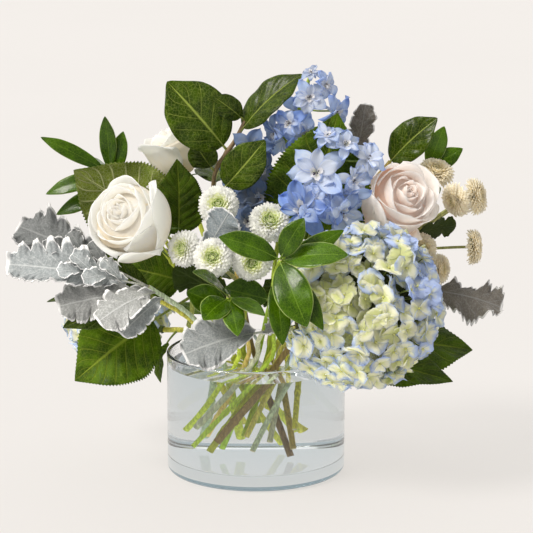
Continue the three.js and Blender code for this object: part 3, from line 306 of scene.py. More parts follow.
def catmull(points, samples=24):
    """A smooth curve through the points, with the same number of samples between each two."""
    points = [np.asarray(p, float) for p in points]
    points = [2 * points[0] - points[1], *points, 2 * points[-1] - points[-2]]
    parts = []
    for p0, p1, p2, p3 in zip(points, points[1:], points[2:], points[3:]):
        d0, d1, d2 = (max(np.linalg.norm(b - a), 1e-4) ** 0.5 for a, b in ((p0, p1), (p1, p2), (p2, p3)))
        m1 = ((p1 - p0) / d0 - (p2 - p0) / (d0 + d1) + (p2 - p1) / d1) * d1
        m2 = ((p2 - p1) / d1 - (p3 - p1) / (d1 + d2) + (p3 - p2) / d2) * d1
        t = np.linspace(0, 1, samples)[:, None]
        parts.append(p1 + m1 * t + (3 * (p2 - p1) - 2 * m1 - m2) * t**2 + (2 * (p1 - p2) + m1 + m2) * t**3)
    return np.concatenate([part[:-1] for part in parts] + [parts[-1][-1:]])


def along(line, share):
    """The point at a share of the line's length, or the points at many shares."""
    run = np.concatenate([[0], np.cumsum(np.linalg.norm(np.diff(line, axis=0), axis=1))])
    return np.stack([np.interp(share * run[-1], run, line[:, k]) for k in range(3)], -1)


def evenly(line, count):
    return along(line, np.linspace(0, 1, count))


def circle(count):
    """The angles of points spread evenly round a circle."""
    return np.linspace(0, 2 * math.pi, count, endpoint=False)


def shares(rows, columns):
    """The shares along a sheet, 0 to 1 in a column, and across it, -1 to 1 in a row."""
    return np.linspace(0, 1, rows)[:, None], np.linspace(-1, 1, columns)[None, :]


def fanned(out, across, rise, angle):
    """A sheet that lies out from an axis, turned about it by the angle."""
    c, s = math.cos(angle), math.sin(angle)
    return np.stack([out * c - across * s, out * s + across * c, rise + 0 * across], -1)


def wrapped(out, rise, angles):
    """A sheet that stands round an axis."""
    return np.stack([out * np.cos(angles), out * np.sin(angles), rise + 0 * angles], -1)


def turned(profile, count):
    """Rings of points round an axis, from pairs of radius and height."""
    radii, heights = np.array(profile, float).T[..., None]
    return wrapped(radii, heights, circle(count))


# ---------------------------------------------------------------- materials


def rgb(code):
    """A colour as the screen shows it, as linear light."""
    parts = [int(code[i : i + 2], 16) / 255 for i in (1, 3, 5)]
    return (*[c / 12.92 if c <= 0.04045 else ((c + 0.055) / 1.055) ** 2.4 for c in parts], 1)


class Value:
    """A socket of a node tree that can be added, multiplied and so on."""

    def __init__(self, graph, socket):
        self.graph, self.socket = graph, socket

    def __add__(self, other):
        return self.graph.math("ADD", self, other)

    def __sub__(self, other):
        return self.graph.math("SUBTRACT", self, other)

    def __rsub__(self, other):
        return self.graph.math("SUBTRACT", other, self)

    def __mul__(self, other):
        return self.graph.math("MULTIPLY", self, other)

    def __abs__(self):
        return self.graph.math("ABSOLUTE", self)


class Graph:
    """The node tree of a material or of the world, built by nested calls."""

    def __init__(self, owner):
        owner.use_nodes = True
        self.owner, self.tree = owner, owner.node_tree
        self.tree.nodes.clear()

    def node(self, kind, inputs, **settings):
        """A new node. Each input is a value of this tree, a colour code or a plain number."""
        node = self.tree.nodes.new("ShaderNode" + kind)
        for key, value in settings.items():
            setattr(node, key, value)
        for key, value in inputs.items():
            if isinstance(value, Value):
                self.tree.links.new(value.socket, node.inputs[key])
            else:
                node.inputs[key].default_value = rgb(value) if isinstance(value, str) else value
        return node

    def value(self, kind, inputs, output=0, **settings):
        return Value(self, self.node(kind, inputs, **settings).outputs[output])

    def math(self, operation, *values):
        return self.value("Math", dict(enumerate(values)), operation=operation)

    def larger(self, a, b):
        return self.math("MAXIMUM", a, b)

    def midway(self, value):
        """0 where the value is a whole number, and up to 0.5 midway between two of them."""
        return 0.5 - abs(self.math("FRACT", value) - 0.5)

    def step(self, value, low, high, start=0.0, end=1.0):
        """A soft step from start, where the value is low, to end, where it is high."""
        inputs = {"Value": value, "From Min": low, "From Max": high, "To Min": start, "To Max": end}
        return self.value("MapRange", inputs, interpolation_type="SMOOTHSTEP")

    def mix(self, factor, a, b):
        return self.value("Mix", {0: factor, 6: a, 7: b}, 2, data_type="RGBA")

    def place(self):
        return self.value("TexCoord", {}, "Object")

    def noise(self, size, detail=3.0, rough=0.55, stretch=None):
        """Noise whose lumps are about size millimetres across."""
        place = self.place()
        if stretch:
            place = self.value("Mapping", {"Vector": place, "Scale": stretch})
        inputs = {"Vector": place, "Scale": 1 / (size * MM), "Detail": detail, "Roughness": rough}
        return self.value("TexNoise", inputs, "Fac")

    def parts(self, kind, value):
        return [Value(self, output) for output in self.node(kind, {0: value}).outputs]

    def sheet(self):
        """Across (0 to 1), along (0 root to 1 tip) and out from the middle (0 to 1) of a blade or petal."""
        across, run, _ = self.parts("SeparateXYZ", self.value("UVMap", {}, uv_map="UVMap"))
        return across, run, abs(across * 2 - 1)

    def tint(self):
        """What a piece gives each blade, petal or stem: its colour, or three numbers for the material."""
        return self.value("Attribute", {}, "Color", attribute_name="tint")

    def shade(self, colour, value):
        return self.value("HueSaturation", {"Value": value, "Color": colour})

    def bump(self, height, strength, depth=0.5):
        return self.value("Bump", {"Height": height, "Strength": strength, "Distance": depth * MM})

    def finish(self, inputs, glow=None, share=0.3):
        """Ends a material in a principled surface, with a share of light let through in the colour glow."""
        surface = self.value("BsdfPrincipled", inputs)
        if glow:
            through = self.value("BsdfTranslucent", {"Color": glow})
            surface = self.value("MixShader", {0: share, 1: surface, 2: through})
        self.node("OutputMaterial", {"Surface": surface})
        return self.owner


def blank(name):
    return Graph(bpy.data.materials.new(name))


def leaf_material(name, dark, light, rib, veins=8, slope=2.0, rough=0.45, coat=0.0, relief=0.5, width=0.09,
                  strength=0.5, net=3.0, rim=None, share=0.25, mesh=0.25, spec=0.3):
    """A green blade: a midrib, side veins that run forward to the edge, a net of fine ones, and painted shade
    beside the side veins.
    """
    g = blank(name)
    _, run, spread = g.sheet()
    reach = g.midway(run * veins - g.math("POWER", spread, 0.8) * slope)
    lines = g.larger(g.step(spread, 0.06, 0.015), g.step(reach, width, 0.0) * g.step(spread, 1.05, 0.6))
    cells = g.value("TexVoronoi", {"Vector": g.place(), "Scale": 1 / (net * MM)}, "Distance",
                    feature="DISTANCE_TO_EDGE")
    fine = g.step(cells, 0.1, 0.0)
    body = g.mix(g.step(g.noise(14), 0.35, 0.65), dark, light)
    # painted shade: darker beside each side vein, in the creases that the puckered blade sinks into there
    body = g.mix(g.step(reach, 0.5, 0.1) * 0.35, body, g.shade(body, 0.6))
    body = g.mix(fine * mesh, body, rib)
    body = g.mix(lines * strength, body, rib)
    if rim:
        body = g.mix(g.step(spread, 0.93, 0.985, 0.0, 0.8), body, rim)
    tone = g.parts("SeparateColor", g.tint())[0]
    colour = g.shade(body, tone * 0.7 + 0.65)
    height = lines * -relief + fine * (-0.3 * relief) + g.noise(1.6, 2.0) * 0.3
    inputs = {"Base Color": colour, "Roughness": g.noise(5) * 0.25 + (rough - 0.12), "Coat Weight": coat,
              "Coat Roughness": 0.18, "Specular IOR Level": spec, "Normal": g.bump(height, 0.9, 0.7)}
    return g.finish(inputs, g.mix(0.55, colour, "#a9c53c"), share)


def felt_material(name, cool, warm, margin, rib):
    """A leaf under white felt, which is thickest along its edge and its ribs.

    The tint's numbers are how pale the leaf is and how warm.
    """
    g = blank(name)
    _, run, spread = g.sheet()
    fuzz = g.noise(1.4, 5.0, 0.8)
    pale, warmth = g.parts("SeparateColor", g.tint())[:2]
    veins = g.larger(g.step(spread + (fuzz * 0.08 - 0.04), 0.07, 0.01),
                     g.step(g.midway(run * 6 - spread * 1.3), 0.08, 0.0, 0.0, 0.5))
    edge = g.larger(g.step(spread, 0.87, 0.94), g.step(run, 0.96, 0.985))
    body = g.mix(warmth, cool, warm)
    colour = g.mix(g.step(g.noise(7), 0.3, 0.7), body, g.shade(body, 1.25))
    colour = g.mix(veins * 0.5, colour, rib)
    colour = g.mix(g.step(fuzz, 0.42, 0.66, 0.0, 0.35), colour, margin)
    colour = g.mix(edge, colour, margin)
    colour = g.shade(colour, g.larger(pale * 0.9 + 0.35, edge * 0.85))
    inputs = {"Base Color": colour, "Roughness": 0.95, "Sheen Weight": 0.3, "Sheen Roughness": 0.4,
              "Specular IOR Level": 0.1, "Normal": g.bump(fuzz + veins * 1.4, 0.5, 0.5)}
    return g.finish(inputs, colour, 0.15)


def petal_material(name, heart, body, edge, low, high, vein, share, rough=0.55, rim=None, rim_share=0.0,
                   glow=0.0):
    """A petal that goes from the heart colour to the edge colour, with fine lines along it.

    The tint's first number shifts the brightness, the second the colour towards the edge's, and
    the third darkens it. The glow is a painted glow: the petal emits a little light in its own colour,
    in place of the light that wanders inside a petal and between petals.
    """
    g = blank(name)
    across, run, spread = g.sheet()
    bright, shift, dark = g.parts("SeparateColor", g.tint())[:3]
    out = g.larger(run, spread * 0.75) + (g.noise(3.5) * 0.5 - 0.25) + (shift - 0.5)
    middle = (low + high) / 2
    colour = g.mix(g.step(out, low, middle), heart, body)
    colour = g.mix(g.step(out, middle, high), colour, edge)
    if rim:
        colour = g.mix(g.step(g.larger(run, spread), 0.8, 1.0, 0.0, rim_share), colour, rim)
    place = g.value("CombineXYZ", {0: across * 22, 1: run, 2: bright})
    fan = g.value("TexNoise", {"Vector": place, "Scale": 1.0, "Detail": 2.0}, "Fac")
    colour = g.mix(g.step(fan, 0.52, 0.75, 0.0, vein), colour, g.shade(colour, 0.6))
    colour = g.shade(colour, (bright * 0.2 + 0.9) * (1 - dark))
    # painted glow: Emission Strength makes the petal give off light in its own colour
    inputs = {"Base Color": colour, "Roughness": rough, "Sheen Weight": 0.15, "Sheen Roughness": 0.5,
              "Specular IOR Level": 0.35, "Emission Color": colour, "Emission Strength": glow,
              "Normal": g.bump(fan * 0.8 + g.noise(2.5) * 0.7, 0.35, 0.4)}
    return g.finish(inputs, colour, share)


def stem_material(name):
    """A stem in the colour of its tint, streaked along and flecked with small pale pores."""
    g = blank(name)
    streaks = g.noise(1.6, 3.0, 0.6, stretch=(1, 1, 0.12))
    pores = g.value("TexVoronoi", {"Vector": g.place(), "Scale": 1 / (3.2 * MM)}, "Distance")
    tone = g.mix(g.step(streaks, 0.35, 0.7), g.shade(g.tint(), 0.72), g.shade(g.tint(), 1.25))
    tone = g.mix(g.step(pores, 0.16, 0.08, 0.0, 0.45), tone, "#cfc79a")
    height = streaks + g.step(pores, 0.2, 0.08, 0.0, 0.6)
    return g.finish({"Base Color": tone, "Roughness": 0.5, "Normal": g.bump(height, 0.4, 0.4)}, tone, 0.1)


def core_material(name, dark, light):
    """What shows in the gaps of a dense head: short stalks and painted shade."""
    g = blank(name)
    colour = g.mix(g.step(g.noise(3.0), 0.4, 0.65), dark, light)
    return g.finish({"Base Color": colour, "Roughness": 0.8, "Normal": g.bump(g.noise(1.5), 0.8, 1.0)})


def clear_material(name, index, shadow, absorbed, density, tint="#ffffff"):
    """Glass or water. Light that only passes through on its way to a surface isn't bent."""
    g = blank(name)
    inputs = {"Base Color": tint, "Roughness": 0.0, "IOR": index, "Transmission Weight": 1.0,
              "Normal": g.bump(g.noise(60, 1.0), 0.04, 1.0)}
    clear = g.value("BsdfPrincipled", inputs)
    passing = g.value("BsdfTransparent", {"Color": shadow})
    ray = g.value("LightPath", {}, "Is Shadow Ray")
    surface = g.value("MixShader", {0: ray, 1: clear, 2: passing})
    soak = g.value("VolumeAbsorption", {"Color": absorbed, "Density": density})
    g.node("OutputMaterial", {"Surface": surface, "Volume": soak})
    return g.owner


# of each leaf: its upper side, then its underside
HYDRANGEA_LEAF = (
    leaf_material("hydrangea_leaf", "#2f4802", "#577606", "#9fb03e", 9, 2.2, 0.42, 0, 1.3, 0.07, 0.55, 2.6,
                  share=0.15, spec=0.15),
    leaf_material("hydrangea_leaf_under", "#6f8226", "#94a340", "#dfe3a4", 9, 2.2, 0.6, 0, -1.6, 0.1, 0.95,
                  2.4, mesh=0.4))
SALAL_LEAF = (
    leaf_material("salal_leaf", "#263a00", "#3f5602", "#a2b24f", 5, 1.9, 0.27, 0.15, 0.8, 0.035, 0.8, 2.8,
                  share=0.12, spec=0.12),
    leaf_material("salal_leaf_under", "#6b8230", "#80963c", "#bfca80", 5, 1.9, 0.5, 0, -0.6, 0.05, 0.6))
RUSCUS_LEAF = (
    leaf_material("ruscus_leaf", "#2d4b00", "#466a01", "#83a62c", 2, 3.5, 0.2, 0.35, 0.15, 0.02, 0.3, 2.2,
                  "#aabd66", share=0.12, spec=0.12),
    leaf_material("ruscus_leaf_under", "#5f7c20", "#739028", "#9ab24e", 2, 3.5, 0.4, 0.2, -0.15, 0.02, 0.3))
MUM_LEAF = (
    leaf_material("mum_leaf", "#2a3c0c", "#3f5216", "#6f8240", 4, 1.5, 0.6, 0, 0.8, 0.08, 0.5),
    leaf_material("mum_leaf_under", "#52622e", "#64743c", "#8f9f60", 4, 1.5, 0.7, 0, -0.8, 0.08, 0.5))
MILLER_LEAF = (
    felt_material("miller_leaf", "#87949b", "#a39b90", "#fcfcfc", "#e6e9e8"),
    felt_material("miller_leaf_under", "#c0c6c9", "#cfcdbf", "#ffffff", "#f0f0ee"))

# the last number of each petal material is its painted glow
HYDRANGEA_PETAL = petal_material("hydrangea_petal", "#e9ecb6", "#faf9e6", "#d3e0f9", 0.05, 1.05, 0.08, 0.55,
                                 0.55, "#b0c7f4", 0.18, 0.05)
WHITE_PETAL = petal_material("white_petal", "#fff3da", "#fffaf0", "#fffffc", 0.1, 1.0, 0.0, 0.5,
                             0.5, "#ffffff", 0.6, 0.015)
BLUSH_PETAL = petal_material("blush_petal", "#ffe2cd", "#fff1e8", "#fffcf9", 0.1, 1.0, 0.0, 0.6,
                             0.5, "#fffdfc", 0.6, 0.04)
BUTTON_PETAL = petal_material("button_petal", "#b4d430", "#f8fbd2", "#fffffc", 0.1, 0.9, 0.03, 0.55,
                              0.6, glow=0.03)
# the right group's petals: warmer cream, with a paler, less green heart and stronger fine lines
CREAM_PETAL = petal_material("cream_button_petal", "#dcdb90", "#f9f0d4", "#fffaec", 0.1, 0.9, 0.06, 0.6,
                            0.6, glow=0.02)
DELPHINIUM_PETAL = petal_material("delphinium_petal", "#eaf0fb", "#d2e1f9", "#a3bff0", 0.15, 1.15, 0.2, 0.5,
                                  0.55, "#82a3e8", 0.32, 0.04)
DELPHINIUM_HEART = petal_material("delphinium_heart", "#d9d8c0", "#f2f0f2", "#ffffff", 0.1, 1.0, 0.1, 0.3,
                                  glow=0.03)
STAMEN = core_material("delphinium_stamen", "#2c2338", "#4d4258")
BEAD = core_material("hydrangea_bead", "#cfd07a", "#e3e4a0")
# dark: the short stalks inside a hydrangea head, in painted shade
PAINTED_SHADE_CORE = core_material("hydrangea_painted_shade_core", "#22280e", "#4a5522")
CUT = core_material("cut_end", "#c9bf8e", "#e4dcb2")
STEM = stem_material("stem")

# Each surface bends light by the ratio between its two sides: glass and air 1.5, glass and water 1.125.
# The water's own sides bend none, because the wet glass does. The base bends none either, so that it
# doesn't mirror the stems, and the ring round it is tinted blue-grey: a painted foot line, standing for
# the shade at the foot of the vase.
GLASS_TINT, WATER_TINT = ("#a6cede", 1.0), ("#bce0f5", 0.55)
GLASS = clear_material("glass", 1.5, "#fafcfd", *GLASS_TINT)
GLASS_WET = clear_material("glass_wet", 1.125, "#fcfdfe", *GLASS_TINT)
GLASS_BASE = clear_material("glass_base", 1.0, "#fafcfd", *GLASS_TINT, "#dfecf4")
GLASS_PAINTED_FOOT_LINE = clear_material("glass_painted_foot_line", 1.5, "#fafcfd", *GLASS_TINT, "#7d98a6")
WATER = clear_material("water", 1.333, "#fbfdff", *WATER_TINT)
WATER_SIDE = clear_material("water_side", 1.0, "#fdfeff", *WATER_TINT)

# ---------------------------------------------------------------- pieces


class Piece:
    """Collects sheets and tubes in millimetres, and makes one object of them."""

    def __init__(self, name, node, slot, materials, shell=0.0, two_sided=False):
        self.name, self.node, self.slot, self.materials = name, node, slot, materials
        self.shell, self.two_sided = shell, two_sided
        self.points, self.quads, self.sheet, self.tints, self.looks = [], [], [], [], []
        self.caps, self.cap_looks, self.count = [], [], 0

    def grid(self, points, tint=(0.5, 0.5, 0.0), look=0, closed=False):
        """A sheet of rows and columns of points. The tint is a colour code or three numbers."""
        rows, columns = points.shape[:2]
        index = self.count + np.arange(rows * columns).reshape(rows, columns)
        left = index if closed else index[:, :-1]
        right = np.roll(index, -1, 1) if closed else index[:, 1:]
        quads = np.stack([left[:-1], right[:-1], right[1:], left[1:]], -1).reshape(-1, 4)
        v, u = np.meshgrid(np.linspace(0, 1, rows), np.linspace(0, 1, columns), indexing="ij")
        self.points.append(points.reshape(-1, 3))
        self.quads.append(quads)
        self.sheet.append(np.stack([u, v], -1).reshape(-1, 2))
        tint = rgb(tint)[:3] if isinstance(tint, str) else np.ravel(tint)
        self.tints.append(np.tile(tint, (rows * columns, 1)))
        self.looks.append(np.full(len(quads), look))
        self.count += rows * columns
        return index

    def capped(self, points, tint=(0.5, 0.5, 0.0), look=0, ends=True):
        """A closed sheet, with a face over each end."""
        index = self.grid(points, tint, look, closed=True)
        if ends:
            self.caps += [list(index[0][::-1]), list(index[-1])]

    def tube(self, line, radii, sides, tint, look=0, ends=True):
        """A round tube along a line of points."""
        tangents = unit(np.gradient(line, axis=0))
        helper = np.eye(3)[np.argmin(np.abs(tangents[0]))]
        normals = [unit(np.cross(tangents[0], helper))]
        for tangent in tangents[1:]:
            normals.append(unit(normals[-1] - tangent * np.dot(normals[-1], tangent)))
        normals = np.array(normals)
        turns = circle(sides)
        sideways = np.cross(tangents, normals)
        around = normals[:, None] * np.cos(turns)[:, None] + sideways[:, None] * np.sin(turns)[:, None]
        radii = np.broadcast_to(np.asarray(radii, float), len(line))
        self.capped(line[:, None] + around * radii[:, None, None], tint, look, ends)

    def ball(self, centre, radius, rows, sides, tint=(0.5, 0.5, 0.0), look=0):
        heights = np.cos(np.linspace(0.02, math.pi - 0.02, rows))
        profile = np.stack([np.sqrt(1 - heights**2), heights], -1)
        self.capped(centre + turned(profile, sides) * (1, -1, 1) * radius, tint, look)

    def build(self):
        mesh = bpy.data.meshes.new(self.name)
        quads = np.concatenate(self.quads)
        mesh.from_pydata((np.concatenate(self.points) * MM).tolist(), [], quads.tolist() + self.caps)
        cap_look = len(self.materials) - 1 if self.materials[-1] is CUT else 0
        cap_looks = self.cap_looks or [cap_look] * len(self.caps)
        looks = np.concatenate([*self.looks, cap_looks]).astype(np.int32)
        mesh.polygons.foreach_set("material_index", looks)
        corners = np.zeros(len(mesh.loops), np.int32)
        mesh.loops.foreach_get("vertex_index", corners)
        layer = mesh.uv_layers.new(name="UVMap")
        layer.data.foreach_set("uv", np.concatenate(self.sheet)[corners].ravel())
        tints = np.concatenate(self.tints)
        colours = mesh.color_attributes.new("tint", "FLOAT_COLOR", "POINT")
        colours.data.foreach_set("color", np.c_[tints, np.ones(len(tints))].ravel())
        for material in self.materials:
            mesh.materials.append(material)
        mesh.shade_smooth()
        mesh.validate()
        thing = add(self.name, mesh)
        if self.shell:
            skin = thing.modifiers.new("thickness", "SOLIDIFY")
            skin.thickness = self.shell * MM
            skin.offset = -1
            skin.material_offset = int(self.two_sided)
        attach(thing, "root")
        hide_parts(self.node)


# ---------------------------------------------------------------- leaves


@dataclass
class Blade:
    """The form of one kind of leaf, and what it is made of."""

    root: float  # how bluntly the width grows from the root
    end: float  # and how it shrinks to the tip
    materials: tuple
    stalk: str  # the colour of its stalk
    rows: int
    columns: int
    fold: float = 0.0  # along the midrib, in radians
    veins: int = 0  # side veins, which the blade puckers between
    slope: float = 2.0  # how far forward they run
    pucker: float = 0.0
    wave: float = 0.0
    full: float = 1.0  # the width, as a share of the layout's
    point: float = 0.0  # how drawn out the tip is
    teeth: int = 0
    depth: float = 0.0  # of the teeth
    lobes: int = 0
    cut: float = 0.0  # between the lobes
    lean: float = 0.0

    def half(self, s):
        """Half the width along the blade, 1 at the widest, as in the part but sharper at the tip."""
        peak = self.root / (self.root + self.end)
        s = np.clip(s, 0, 1)
        plain = (s / peak) ** self.root * ((1 - s) / (1 - peak)) ** self.end
        return plain * (1 - self.point * smooth(s, 0.72, 0.98))


LEAVES = {
    "hydrangea": Blade(0.55, 0.95, HYDRANGEA_LEAF, "#8a9a45", 190, 17, 0.2, 9, 2.2, 1.4, 0.035, 0.97, 0.15,
                       teeth=38, depth=0.06),
    "salal": Blade(0.6, 0.7, SALAL_LEAF, "#97a04a", 60, 17, 0.22, 5, 1.9, 0.9, 0.035, point=0.35),
    "ruscus": Blade(0.75, 0.75, RUSCUS_LEAF, "#7c9a30", 34, 11, 0.12, wave=0.025, point=0.2),
    "miller": Blade(0.75, 0.5, MILLER_LEAF, "#c9cbc0", 0, 15),
    "mum": Blade(0.7, 0.45, MUM_LEAF, "#5f6b34", 60, 13, 0.1, wave=0.04, teeth=9, depth=0.12, lobes=3,
                 cut=0.5, lean=0.05),
}


class Rib:
    """The curve that a leaf follows from its root to its tip, with the way it looks."""

    def __init__(self, root, tip, face, arch):
        self.root, self.tip = np.asarray(root, float), np.asarray(tip, float)
        self.length = np.linalg.norm(self.tip - self.root)
        forward = (self.tip - self.root) / self.length
        self.look = unit(np.asarray(face, float) - forward * np.dot(face, forward))
        self.middle = (self.root + self.tip) / 2 + self.look * 2 * arch * self.length

    def at(self, t):
        t = np.asarray(t, float)[..., None]
        return (1 - t) ** 2 * self.root + 2 * t * (1 - t) * self.middle + t * t * self.tip

    def frame(self, t):
        """The ways forward, to the side and up at a share of the curve."""
        t = np.asarray(t, float)[..., None]
        tangent = unit((1 - t) * (self.middle - self.root) + t * (self.tip - self.middle))
        side = unit(np.cross(tangent, self.look))
        return tangent, side, np.cross(side, tangent)

    def sheet(self, t, forward, sideways, up):
        """Points beside the curve, a row for each share of it, at these distances from it."""
        ways = zip(self.frame(t), (forward, sideways, up))
        return self.at(t)[:, None] + sum(way[:, None] * distance[..., None] for way, distance in ways)

    def ridge(self, stalks, stalk, width, colour):
        """The leaf stalk, and the rib that it goes on as under the blade."""
        t = np.linspace(0, 0.97, 24)
        radii = np.clip(1 - t, 0.12, 1) * (0.9 + 0.006 * width)
        down = -self.look * (0.25 + 0.5 * (t > stalk))[:, None]
        stalks.tube(self.at(t) + down, radii, 6, colour)


def felt_leaf(blades, rib, form, stalk, width, look, draw, lobes=None):
    """A grey leaf: one soft sheet whose rounded lobes lean forward, cut deepest near its root.

    The look is how pale it is, how warm, and how deep it is cut.
    """
    pale, warm, cut = look
    blade = rib.length * (1 - stalk)
    lobes = lobes or max(4, round(blade / 15))
    s, q = shares(15 * lobes + 1, form.columns)
    reach = np.abs(q)
    place = s * lobes + np.where(q < 0, 0.0, 0.45)
    u = place % 1
    round_end = (1 - np.abs(2 * u - 1) ** 2.4) ** 0.5
    deep = np.clip(cut * (1.4 - 0.8 * s) * (1 - smooth(s, 0.88, 1.0)) * smooth(s, 0.0, 0.08), 0, 0.85)
    half = width / 2 * 1.08 * form.half(s * 0.985) * (1 - deep * (1 - round_end))
    half = half * (1 + 0.09 * np.abs(np.sin(3 * math.pi * u)) * reach**4) + 0.4
    knots = np.arange(lobes + 2) + 0.5
    tilts = [np.interp(place, knots, draw.normal(0.05, 0.3, lobes + 2)) for _ in range(2)]
    roll = 0.12 + 0.3 * np.sin(4.4 * s + draw.uniform(0, ANY_TURN))
    lift = (roll + np.where(q < 0, *tilts)) * half * reach**2
    lift = lift - 0.1 * width * reach**3 * np.cos(2 * math.pi * u)
    lift = lift + 0.05 * width * reach**4 * np.sin(6 * math.pi * u + q)
    forward = 0.6 * half * reach**1.3 * (1 - s**2)
    points = rib.sheet(stalk + (1 - stalk) * s[:, 0], forward, q * half * 0.97, lift)
    blades.grid(points, (*np.clip((pale, warm), 0, 1), 0))
    if blade < 85 or cut < 0.3:
        return
    for k in range(4):  # small leaflets near the root of the longest leaves
        spot = stalk + (1 - stalk) * (0.06 + 0.11 * k)
        tangent, side, normal = rib.frame(spot)
        hand = -1 if k % 2 else 1
        foot = rib.at(spot) + normal * 1.5
        way = unit(tangent + side * hand * 0.55 + normal * draw.uniform(0.25, 0.5))
        small = Rib(foot, foot + way * draw.uniform(20, 26), normal, 0.08)
        felt_leaf(blades, small, form, 0.0, 13, (pale + draw.uniform(0.1, 0.3), warm, 0.12), draw, 3)


def leaf(blades, stalks, kind, root, draw, tip, width, face, arch, stalk, look=None):
    """One leaf on its stalk, folded along its rib and arched from root to tip."""
    form, rib = LEAVES[kind], Rib(root, tip, face, arch)
    rib.ridge(stalks, stalk, width, form.stalk)
    if kind == "miller":
        felt_leaf(blades, rib, form, stalk, width, look, draw)
        return
    tone = draw.uniform(0.2, 0.8)
    s, q = shares(form.rows, form.columns)
    reach = np.abs(q)
    half = (width / 2) * form.full * form.half(s) + 0.4 * (1 - s)
    shift = np.zeros_like(half * q)
    if form.lobes:
        gap = 1 - np.abs(np.sin(math.pi * form.lobes * s)) ** 0.6
        half = half * (1.04 - form.cut * gap * smooth(s, 0.04, 0.2))
        shift = form.lean * rib.length * (1 - stalk) * reach**1.4 * (1 - s**2)
    if form.teeth:
        saw = (s * form.teeth) % 1
        half = half * (1 + form.depth * (smooth(saw, 0, 0.72) * (1 - smooth(saw, 0.76, 1)) - 0.5) * reach**6)
    phases = draw.uniform(0, ANY_TURN, 3)
    bed = form.veins * s - form.slope * reach**0.8
    lift = form.pucker * (0.5 - np.cos(2 * math.pi * bed) * 0.5) * np.sin(math.pi * reach) ** 0.7
    ripple = form.wave * width * reach**2
    lift = lift + ripple * np.sin(2 * math.pi * (1.6 * s + 0.15 * np.sign(q)) + phases[0])
    lift = lift + 0.5 * ripple * np.sin(2 * math.pi * 3.7 * s + phases[1] * np.sign(q))
    rise = reach * half * np.sin(form.fold * (1 - 0.5 * reach)) + lift * form.half(s)
    points = rib.sheet(stalk + (1 - stalk) * s[:, 0], shift, q * half * np.cos(form.fold), rise)
    blades.grid(points, (tone if look is None else look, draw.uniform(), 0))


# ---------------------------------------------------------------- stems


def straight_part(ring, bearing, foot):
    """Where a stem's foot is, and two points of its straight part at the mouth."""
    waist, lean = RINGS[ring]
    turn = math.radians(bearing) - math.atan2(lean * (MOUTH_HEIGHT - WAIST_HEIGHT), waist)
    c, s = math.cos(turn), math.sin(turn)
    sideways = {z: lean * (z - WAIST_HEIGHT) for z in (foot, MOUTH_HEIGHT - 5, MOUTH_HEIGHT)}
    return [np.array([waist * c - side * s, waist * s + side * c, z]) for z, side in sideways.items()]


def stem(piece, spec, path, draw):
    """A stem from its cut foot to the end of its path. Gives the line that it follows above the mouth."""
    foot, below_mouth, mouth = straight_part(spec.ring, spec.bearing, spec.foot)
    upper = catmull([below_mouth, mouth, *path])
    line = evenly(np.concatenate([foot[None], upper]), 72)
    share = np.linspace(0, 1, len(line))
    radii = spec.radius * (0.92 - 0.2 * share)
    for knot in draw.uniform(0.04, 0.95, 5):
        radii = radii * (1 + 0.28 * np.exp(-(((share - knot) / 0.008) ** 2)))
    radii = radii * (1 + 0.03 * np.sin(share * 60 + draw.uniform(0, 6)))
    shades = np.array(rgb(spec.colour)[:3]) * (1.7, 1.5, 1.1) * (1 + 0.3 * draw.uniform(size=(1, 3)))
    piece.tube(line, radii, 12, shades)
    return upper


def grow(name, slot, draw, shoots=(), end=None):
    """A stem with its shoots and leaves, as two pieces: what is flat, which is built here, and what is round.

    Gives the round piece, still open, and the line of the stem above the mouth.
    """
    spec, rows = STEMS[name], LEAF_ROWS.get(name)
    stalks = Piece(name + "_stalks", name, slot, [STEM, CUT])
    path = spec.path + ([] if end is None else [end])
    upper = stem(stalks, spec, path, draw)
    steps = len(path) + 2

    def rooted(t):
        """The point a share t of the way up, counted as the part does."""
        return along(upper, (t * (steps - 1) + 1) / steps)

    lines = [upper]
    for start, radius, bends in shoots or SHOOTS.get(name, ()):
        lines.append(catmull([rooted(start), *bends]))
        stalks.tube(evenly(lines[-1], 26), radius, 8, spec.colour)
    if rows:
        blades = Piece(f"{name}_{spec.kind}_blades", name, slot, LEAVES[spec.kind].materials, 0.5, True)
        for on, t, *row in rows:
            leaf(blades, stalks, spec.kind, along(lines[on], t) if on else rooted(t), draw, *row)
        blades.build()
    return stalks, upper


# ---------------------------------------------------------------- flowers


def petal(piece, turn, centre, angle, length, width, draw, a, b, lift, curl, cup, ruffle, rows=8, columns=7,
          tint=(0.5, 0.5, 0)):
    """One free petal. It leaves the middle at the slope `lift`, and bends back by `curl`."""
    s, q = shares(rows, columns)
    peak = a / (a + b)
    half = (np.maximum(s, 0.02) / peak) ** a * (np.clip(1 - s, 0, 1) / (1 - peak)) ** b
    half = half * width / 2 + 0.25
    out = length * (0.06 + 0.94 * s * (1 - 0.06 * q * q))
    rise = length * (lift * s - curl * s * s) + cup * half * q * q
    rise = rise + ruffle * length * s * s * np.sin(3.1 * q + draw.uniform(0, ANY_TURN)) * 0.5
    piece.grid(centre + fanned(out, half * q, rise, angle) @ turn.T, tint)


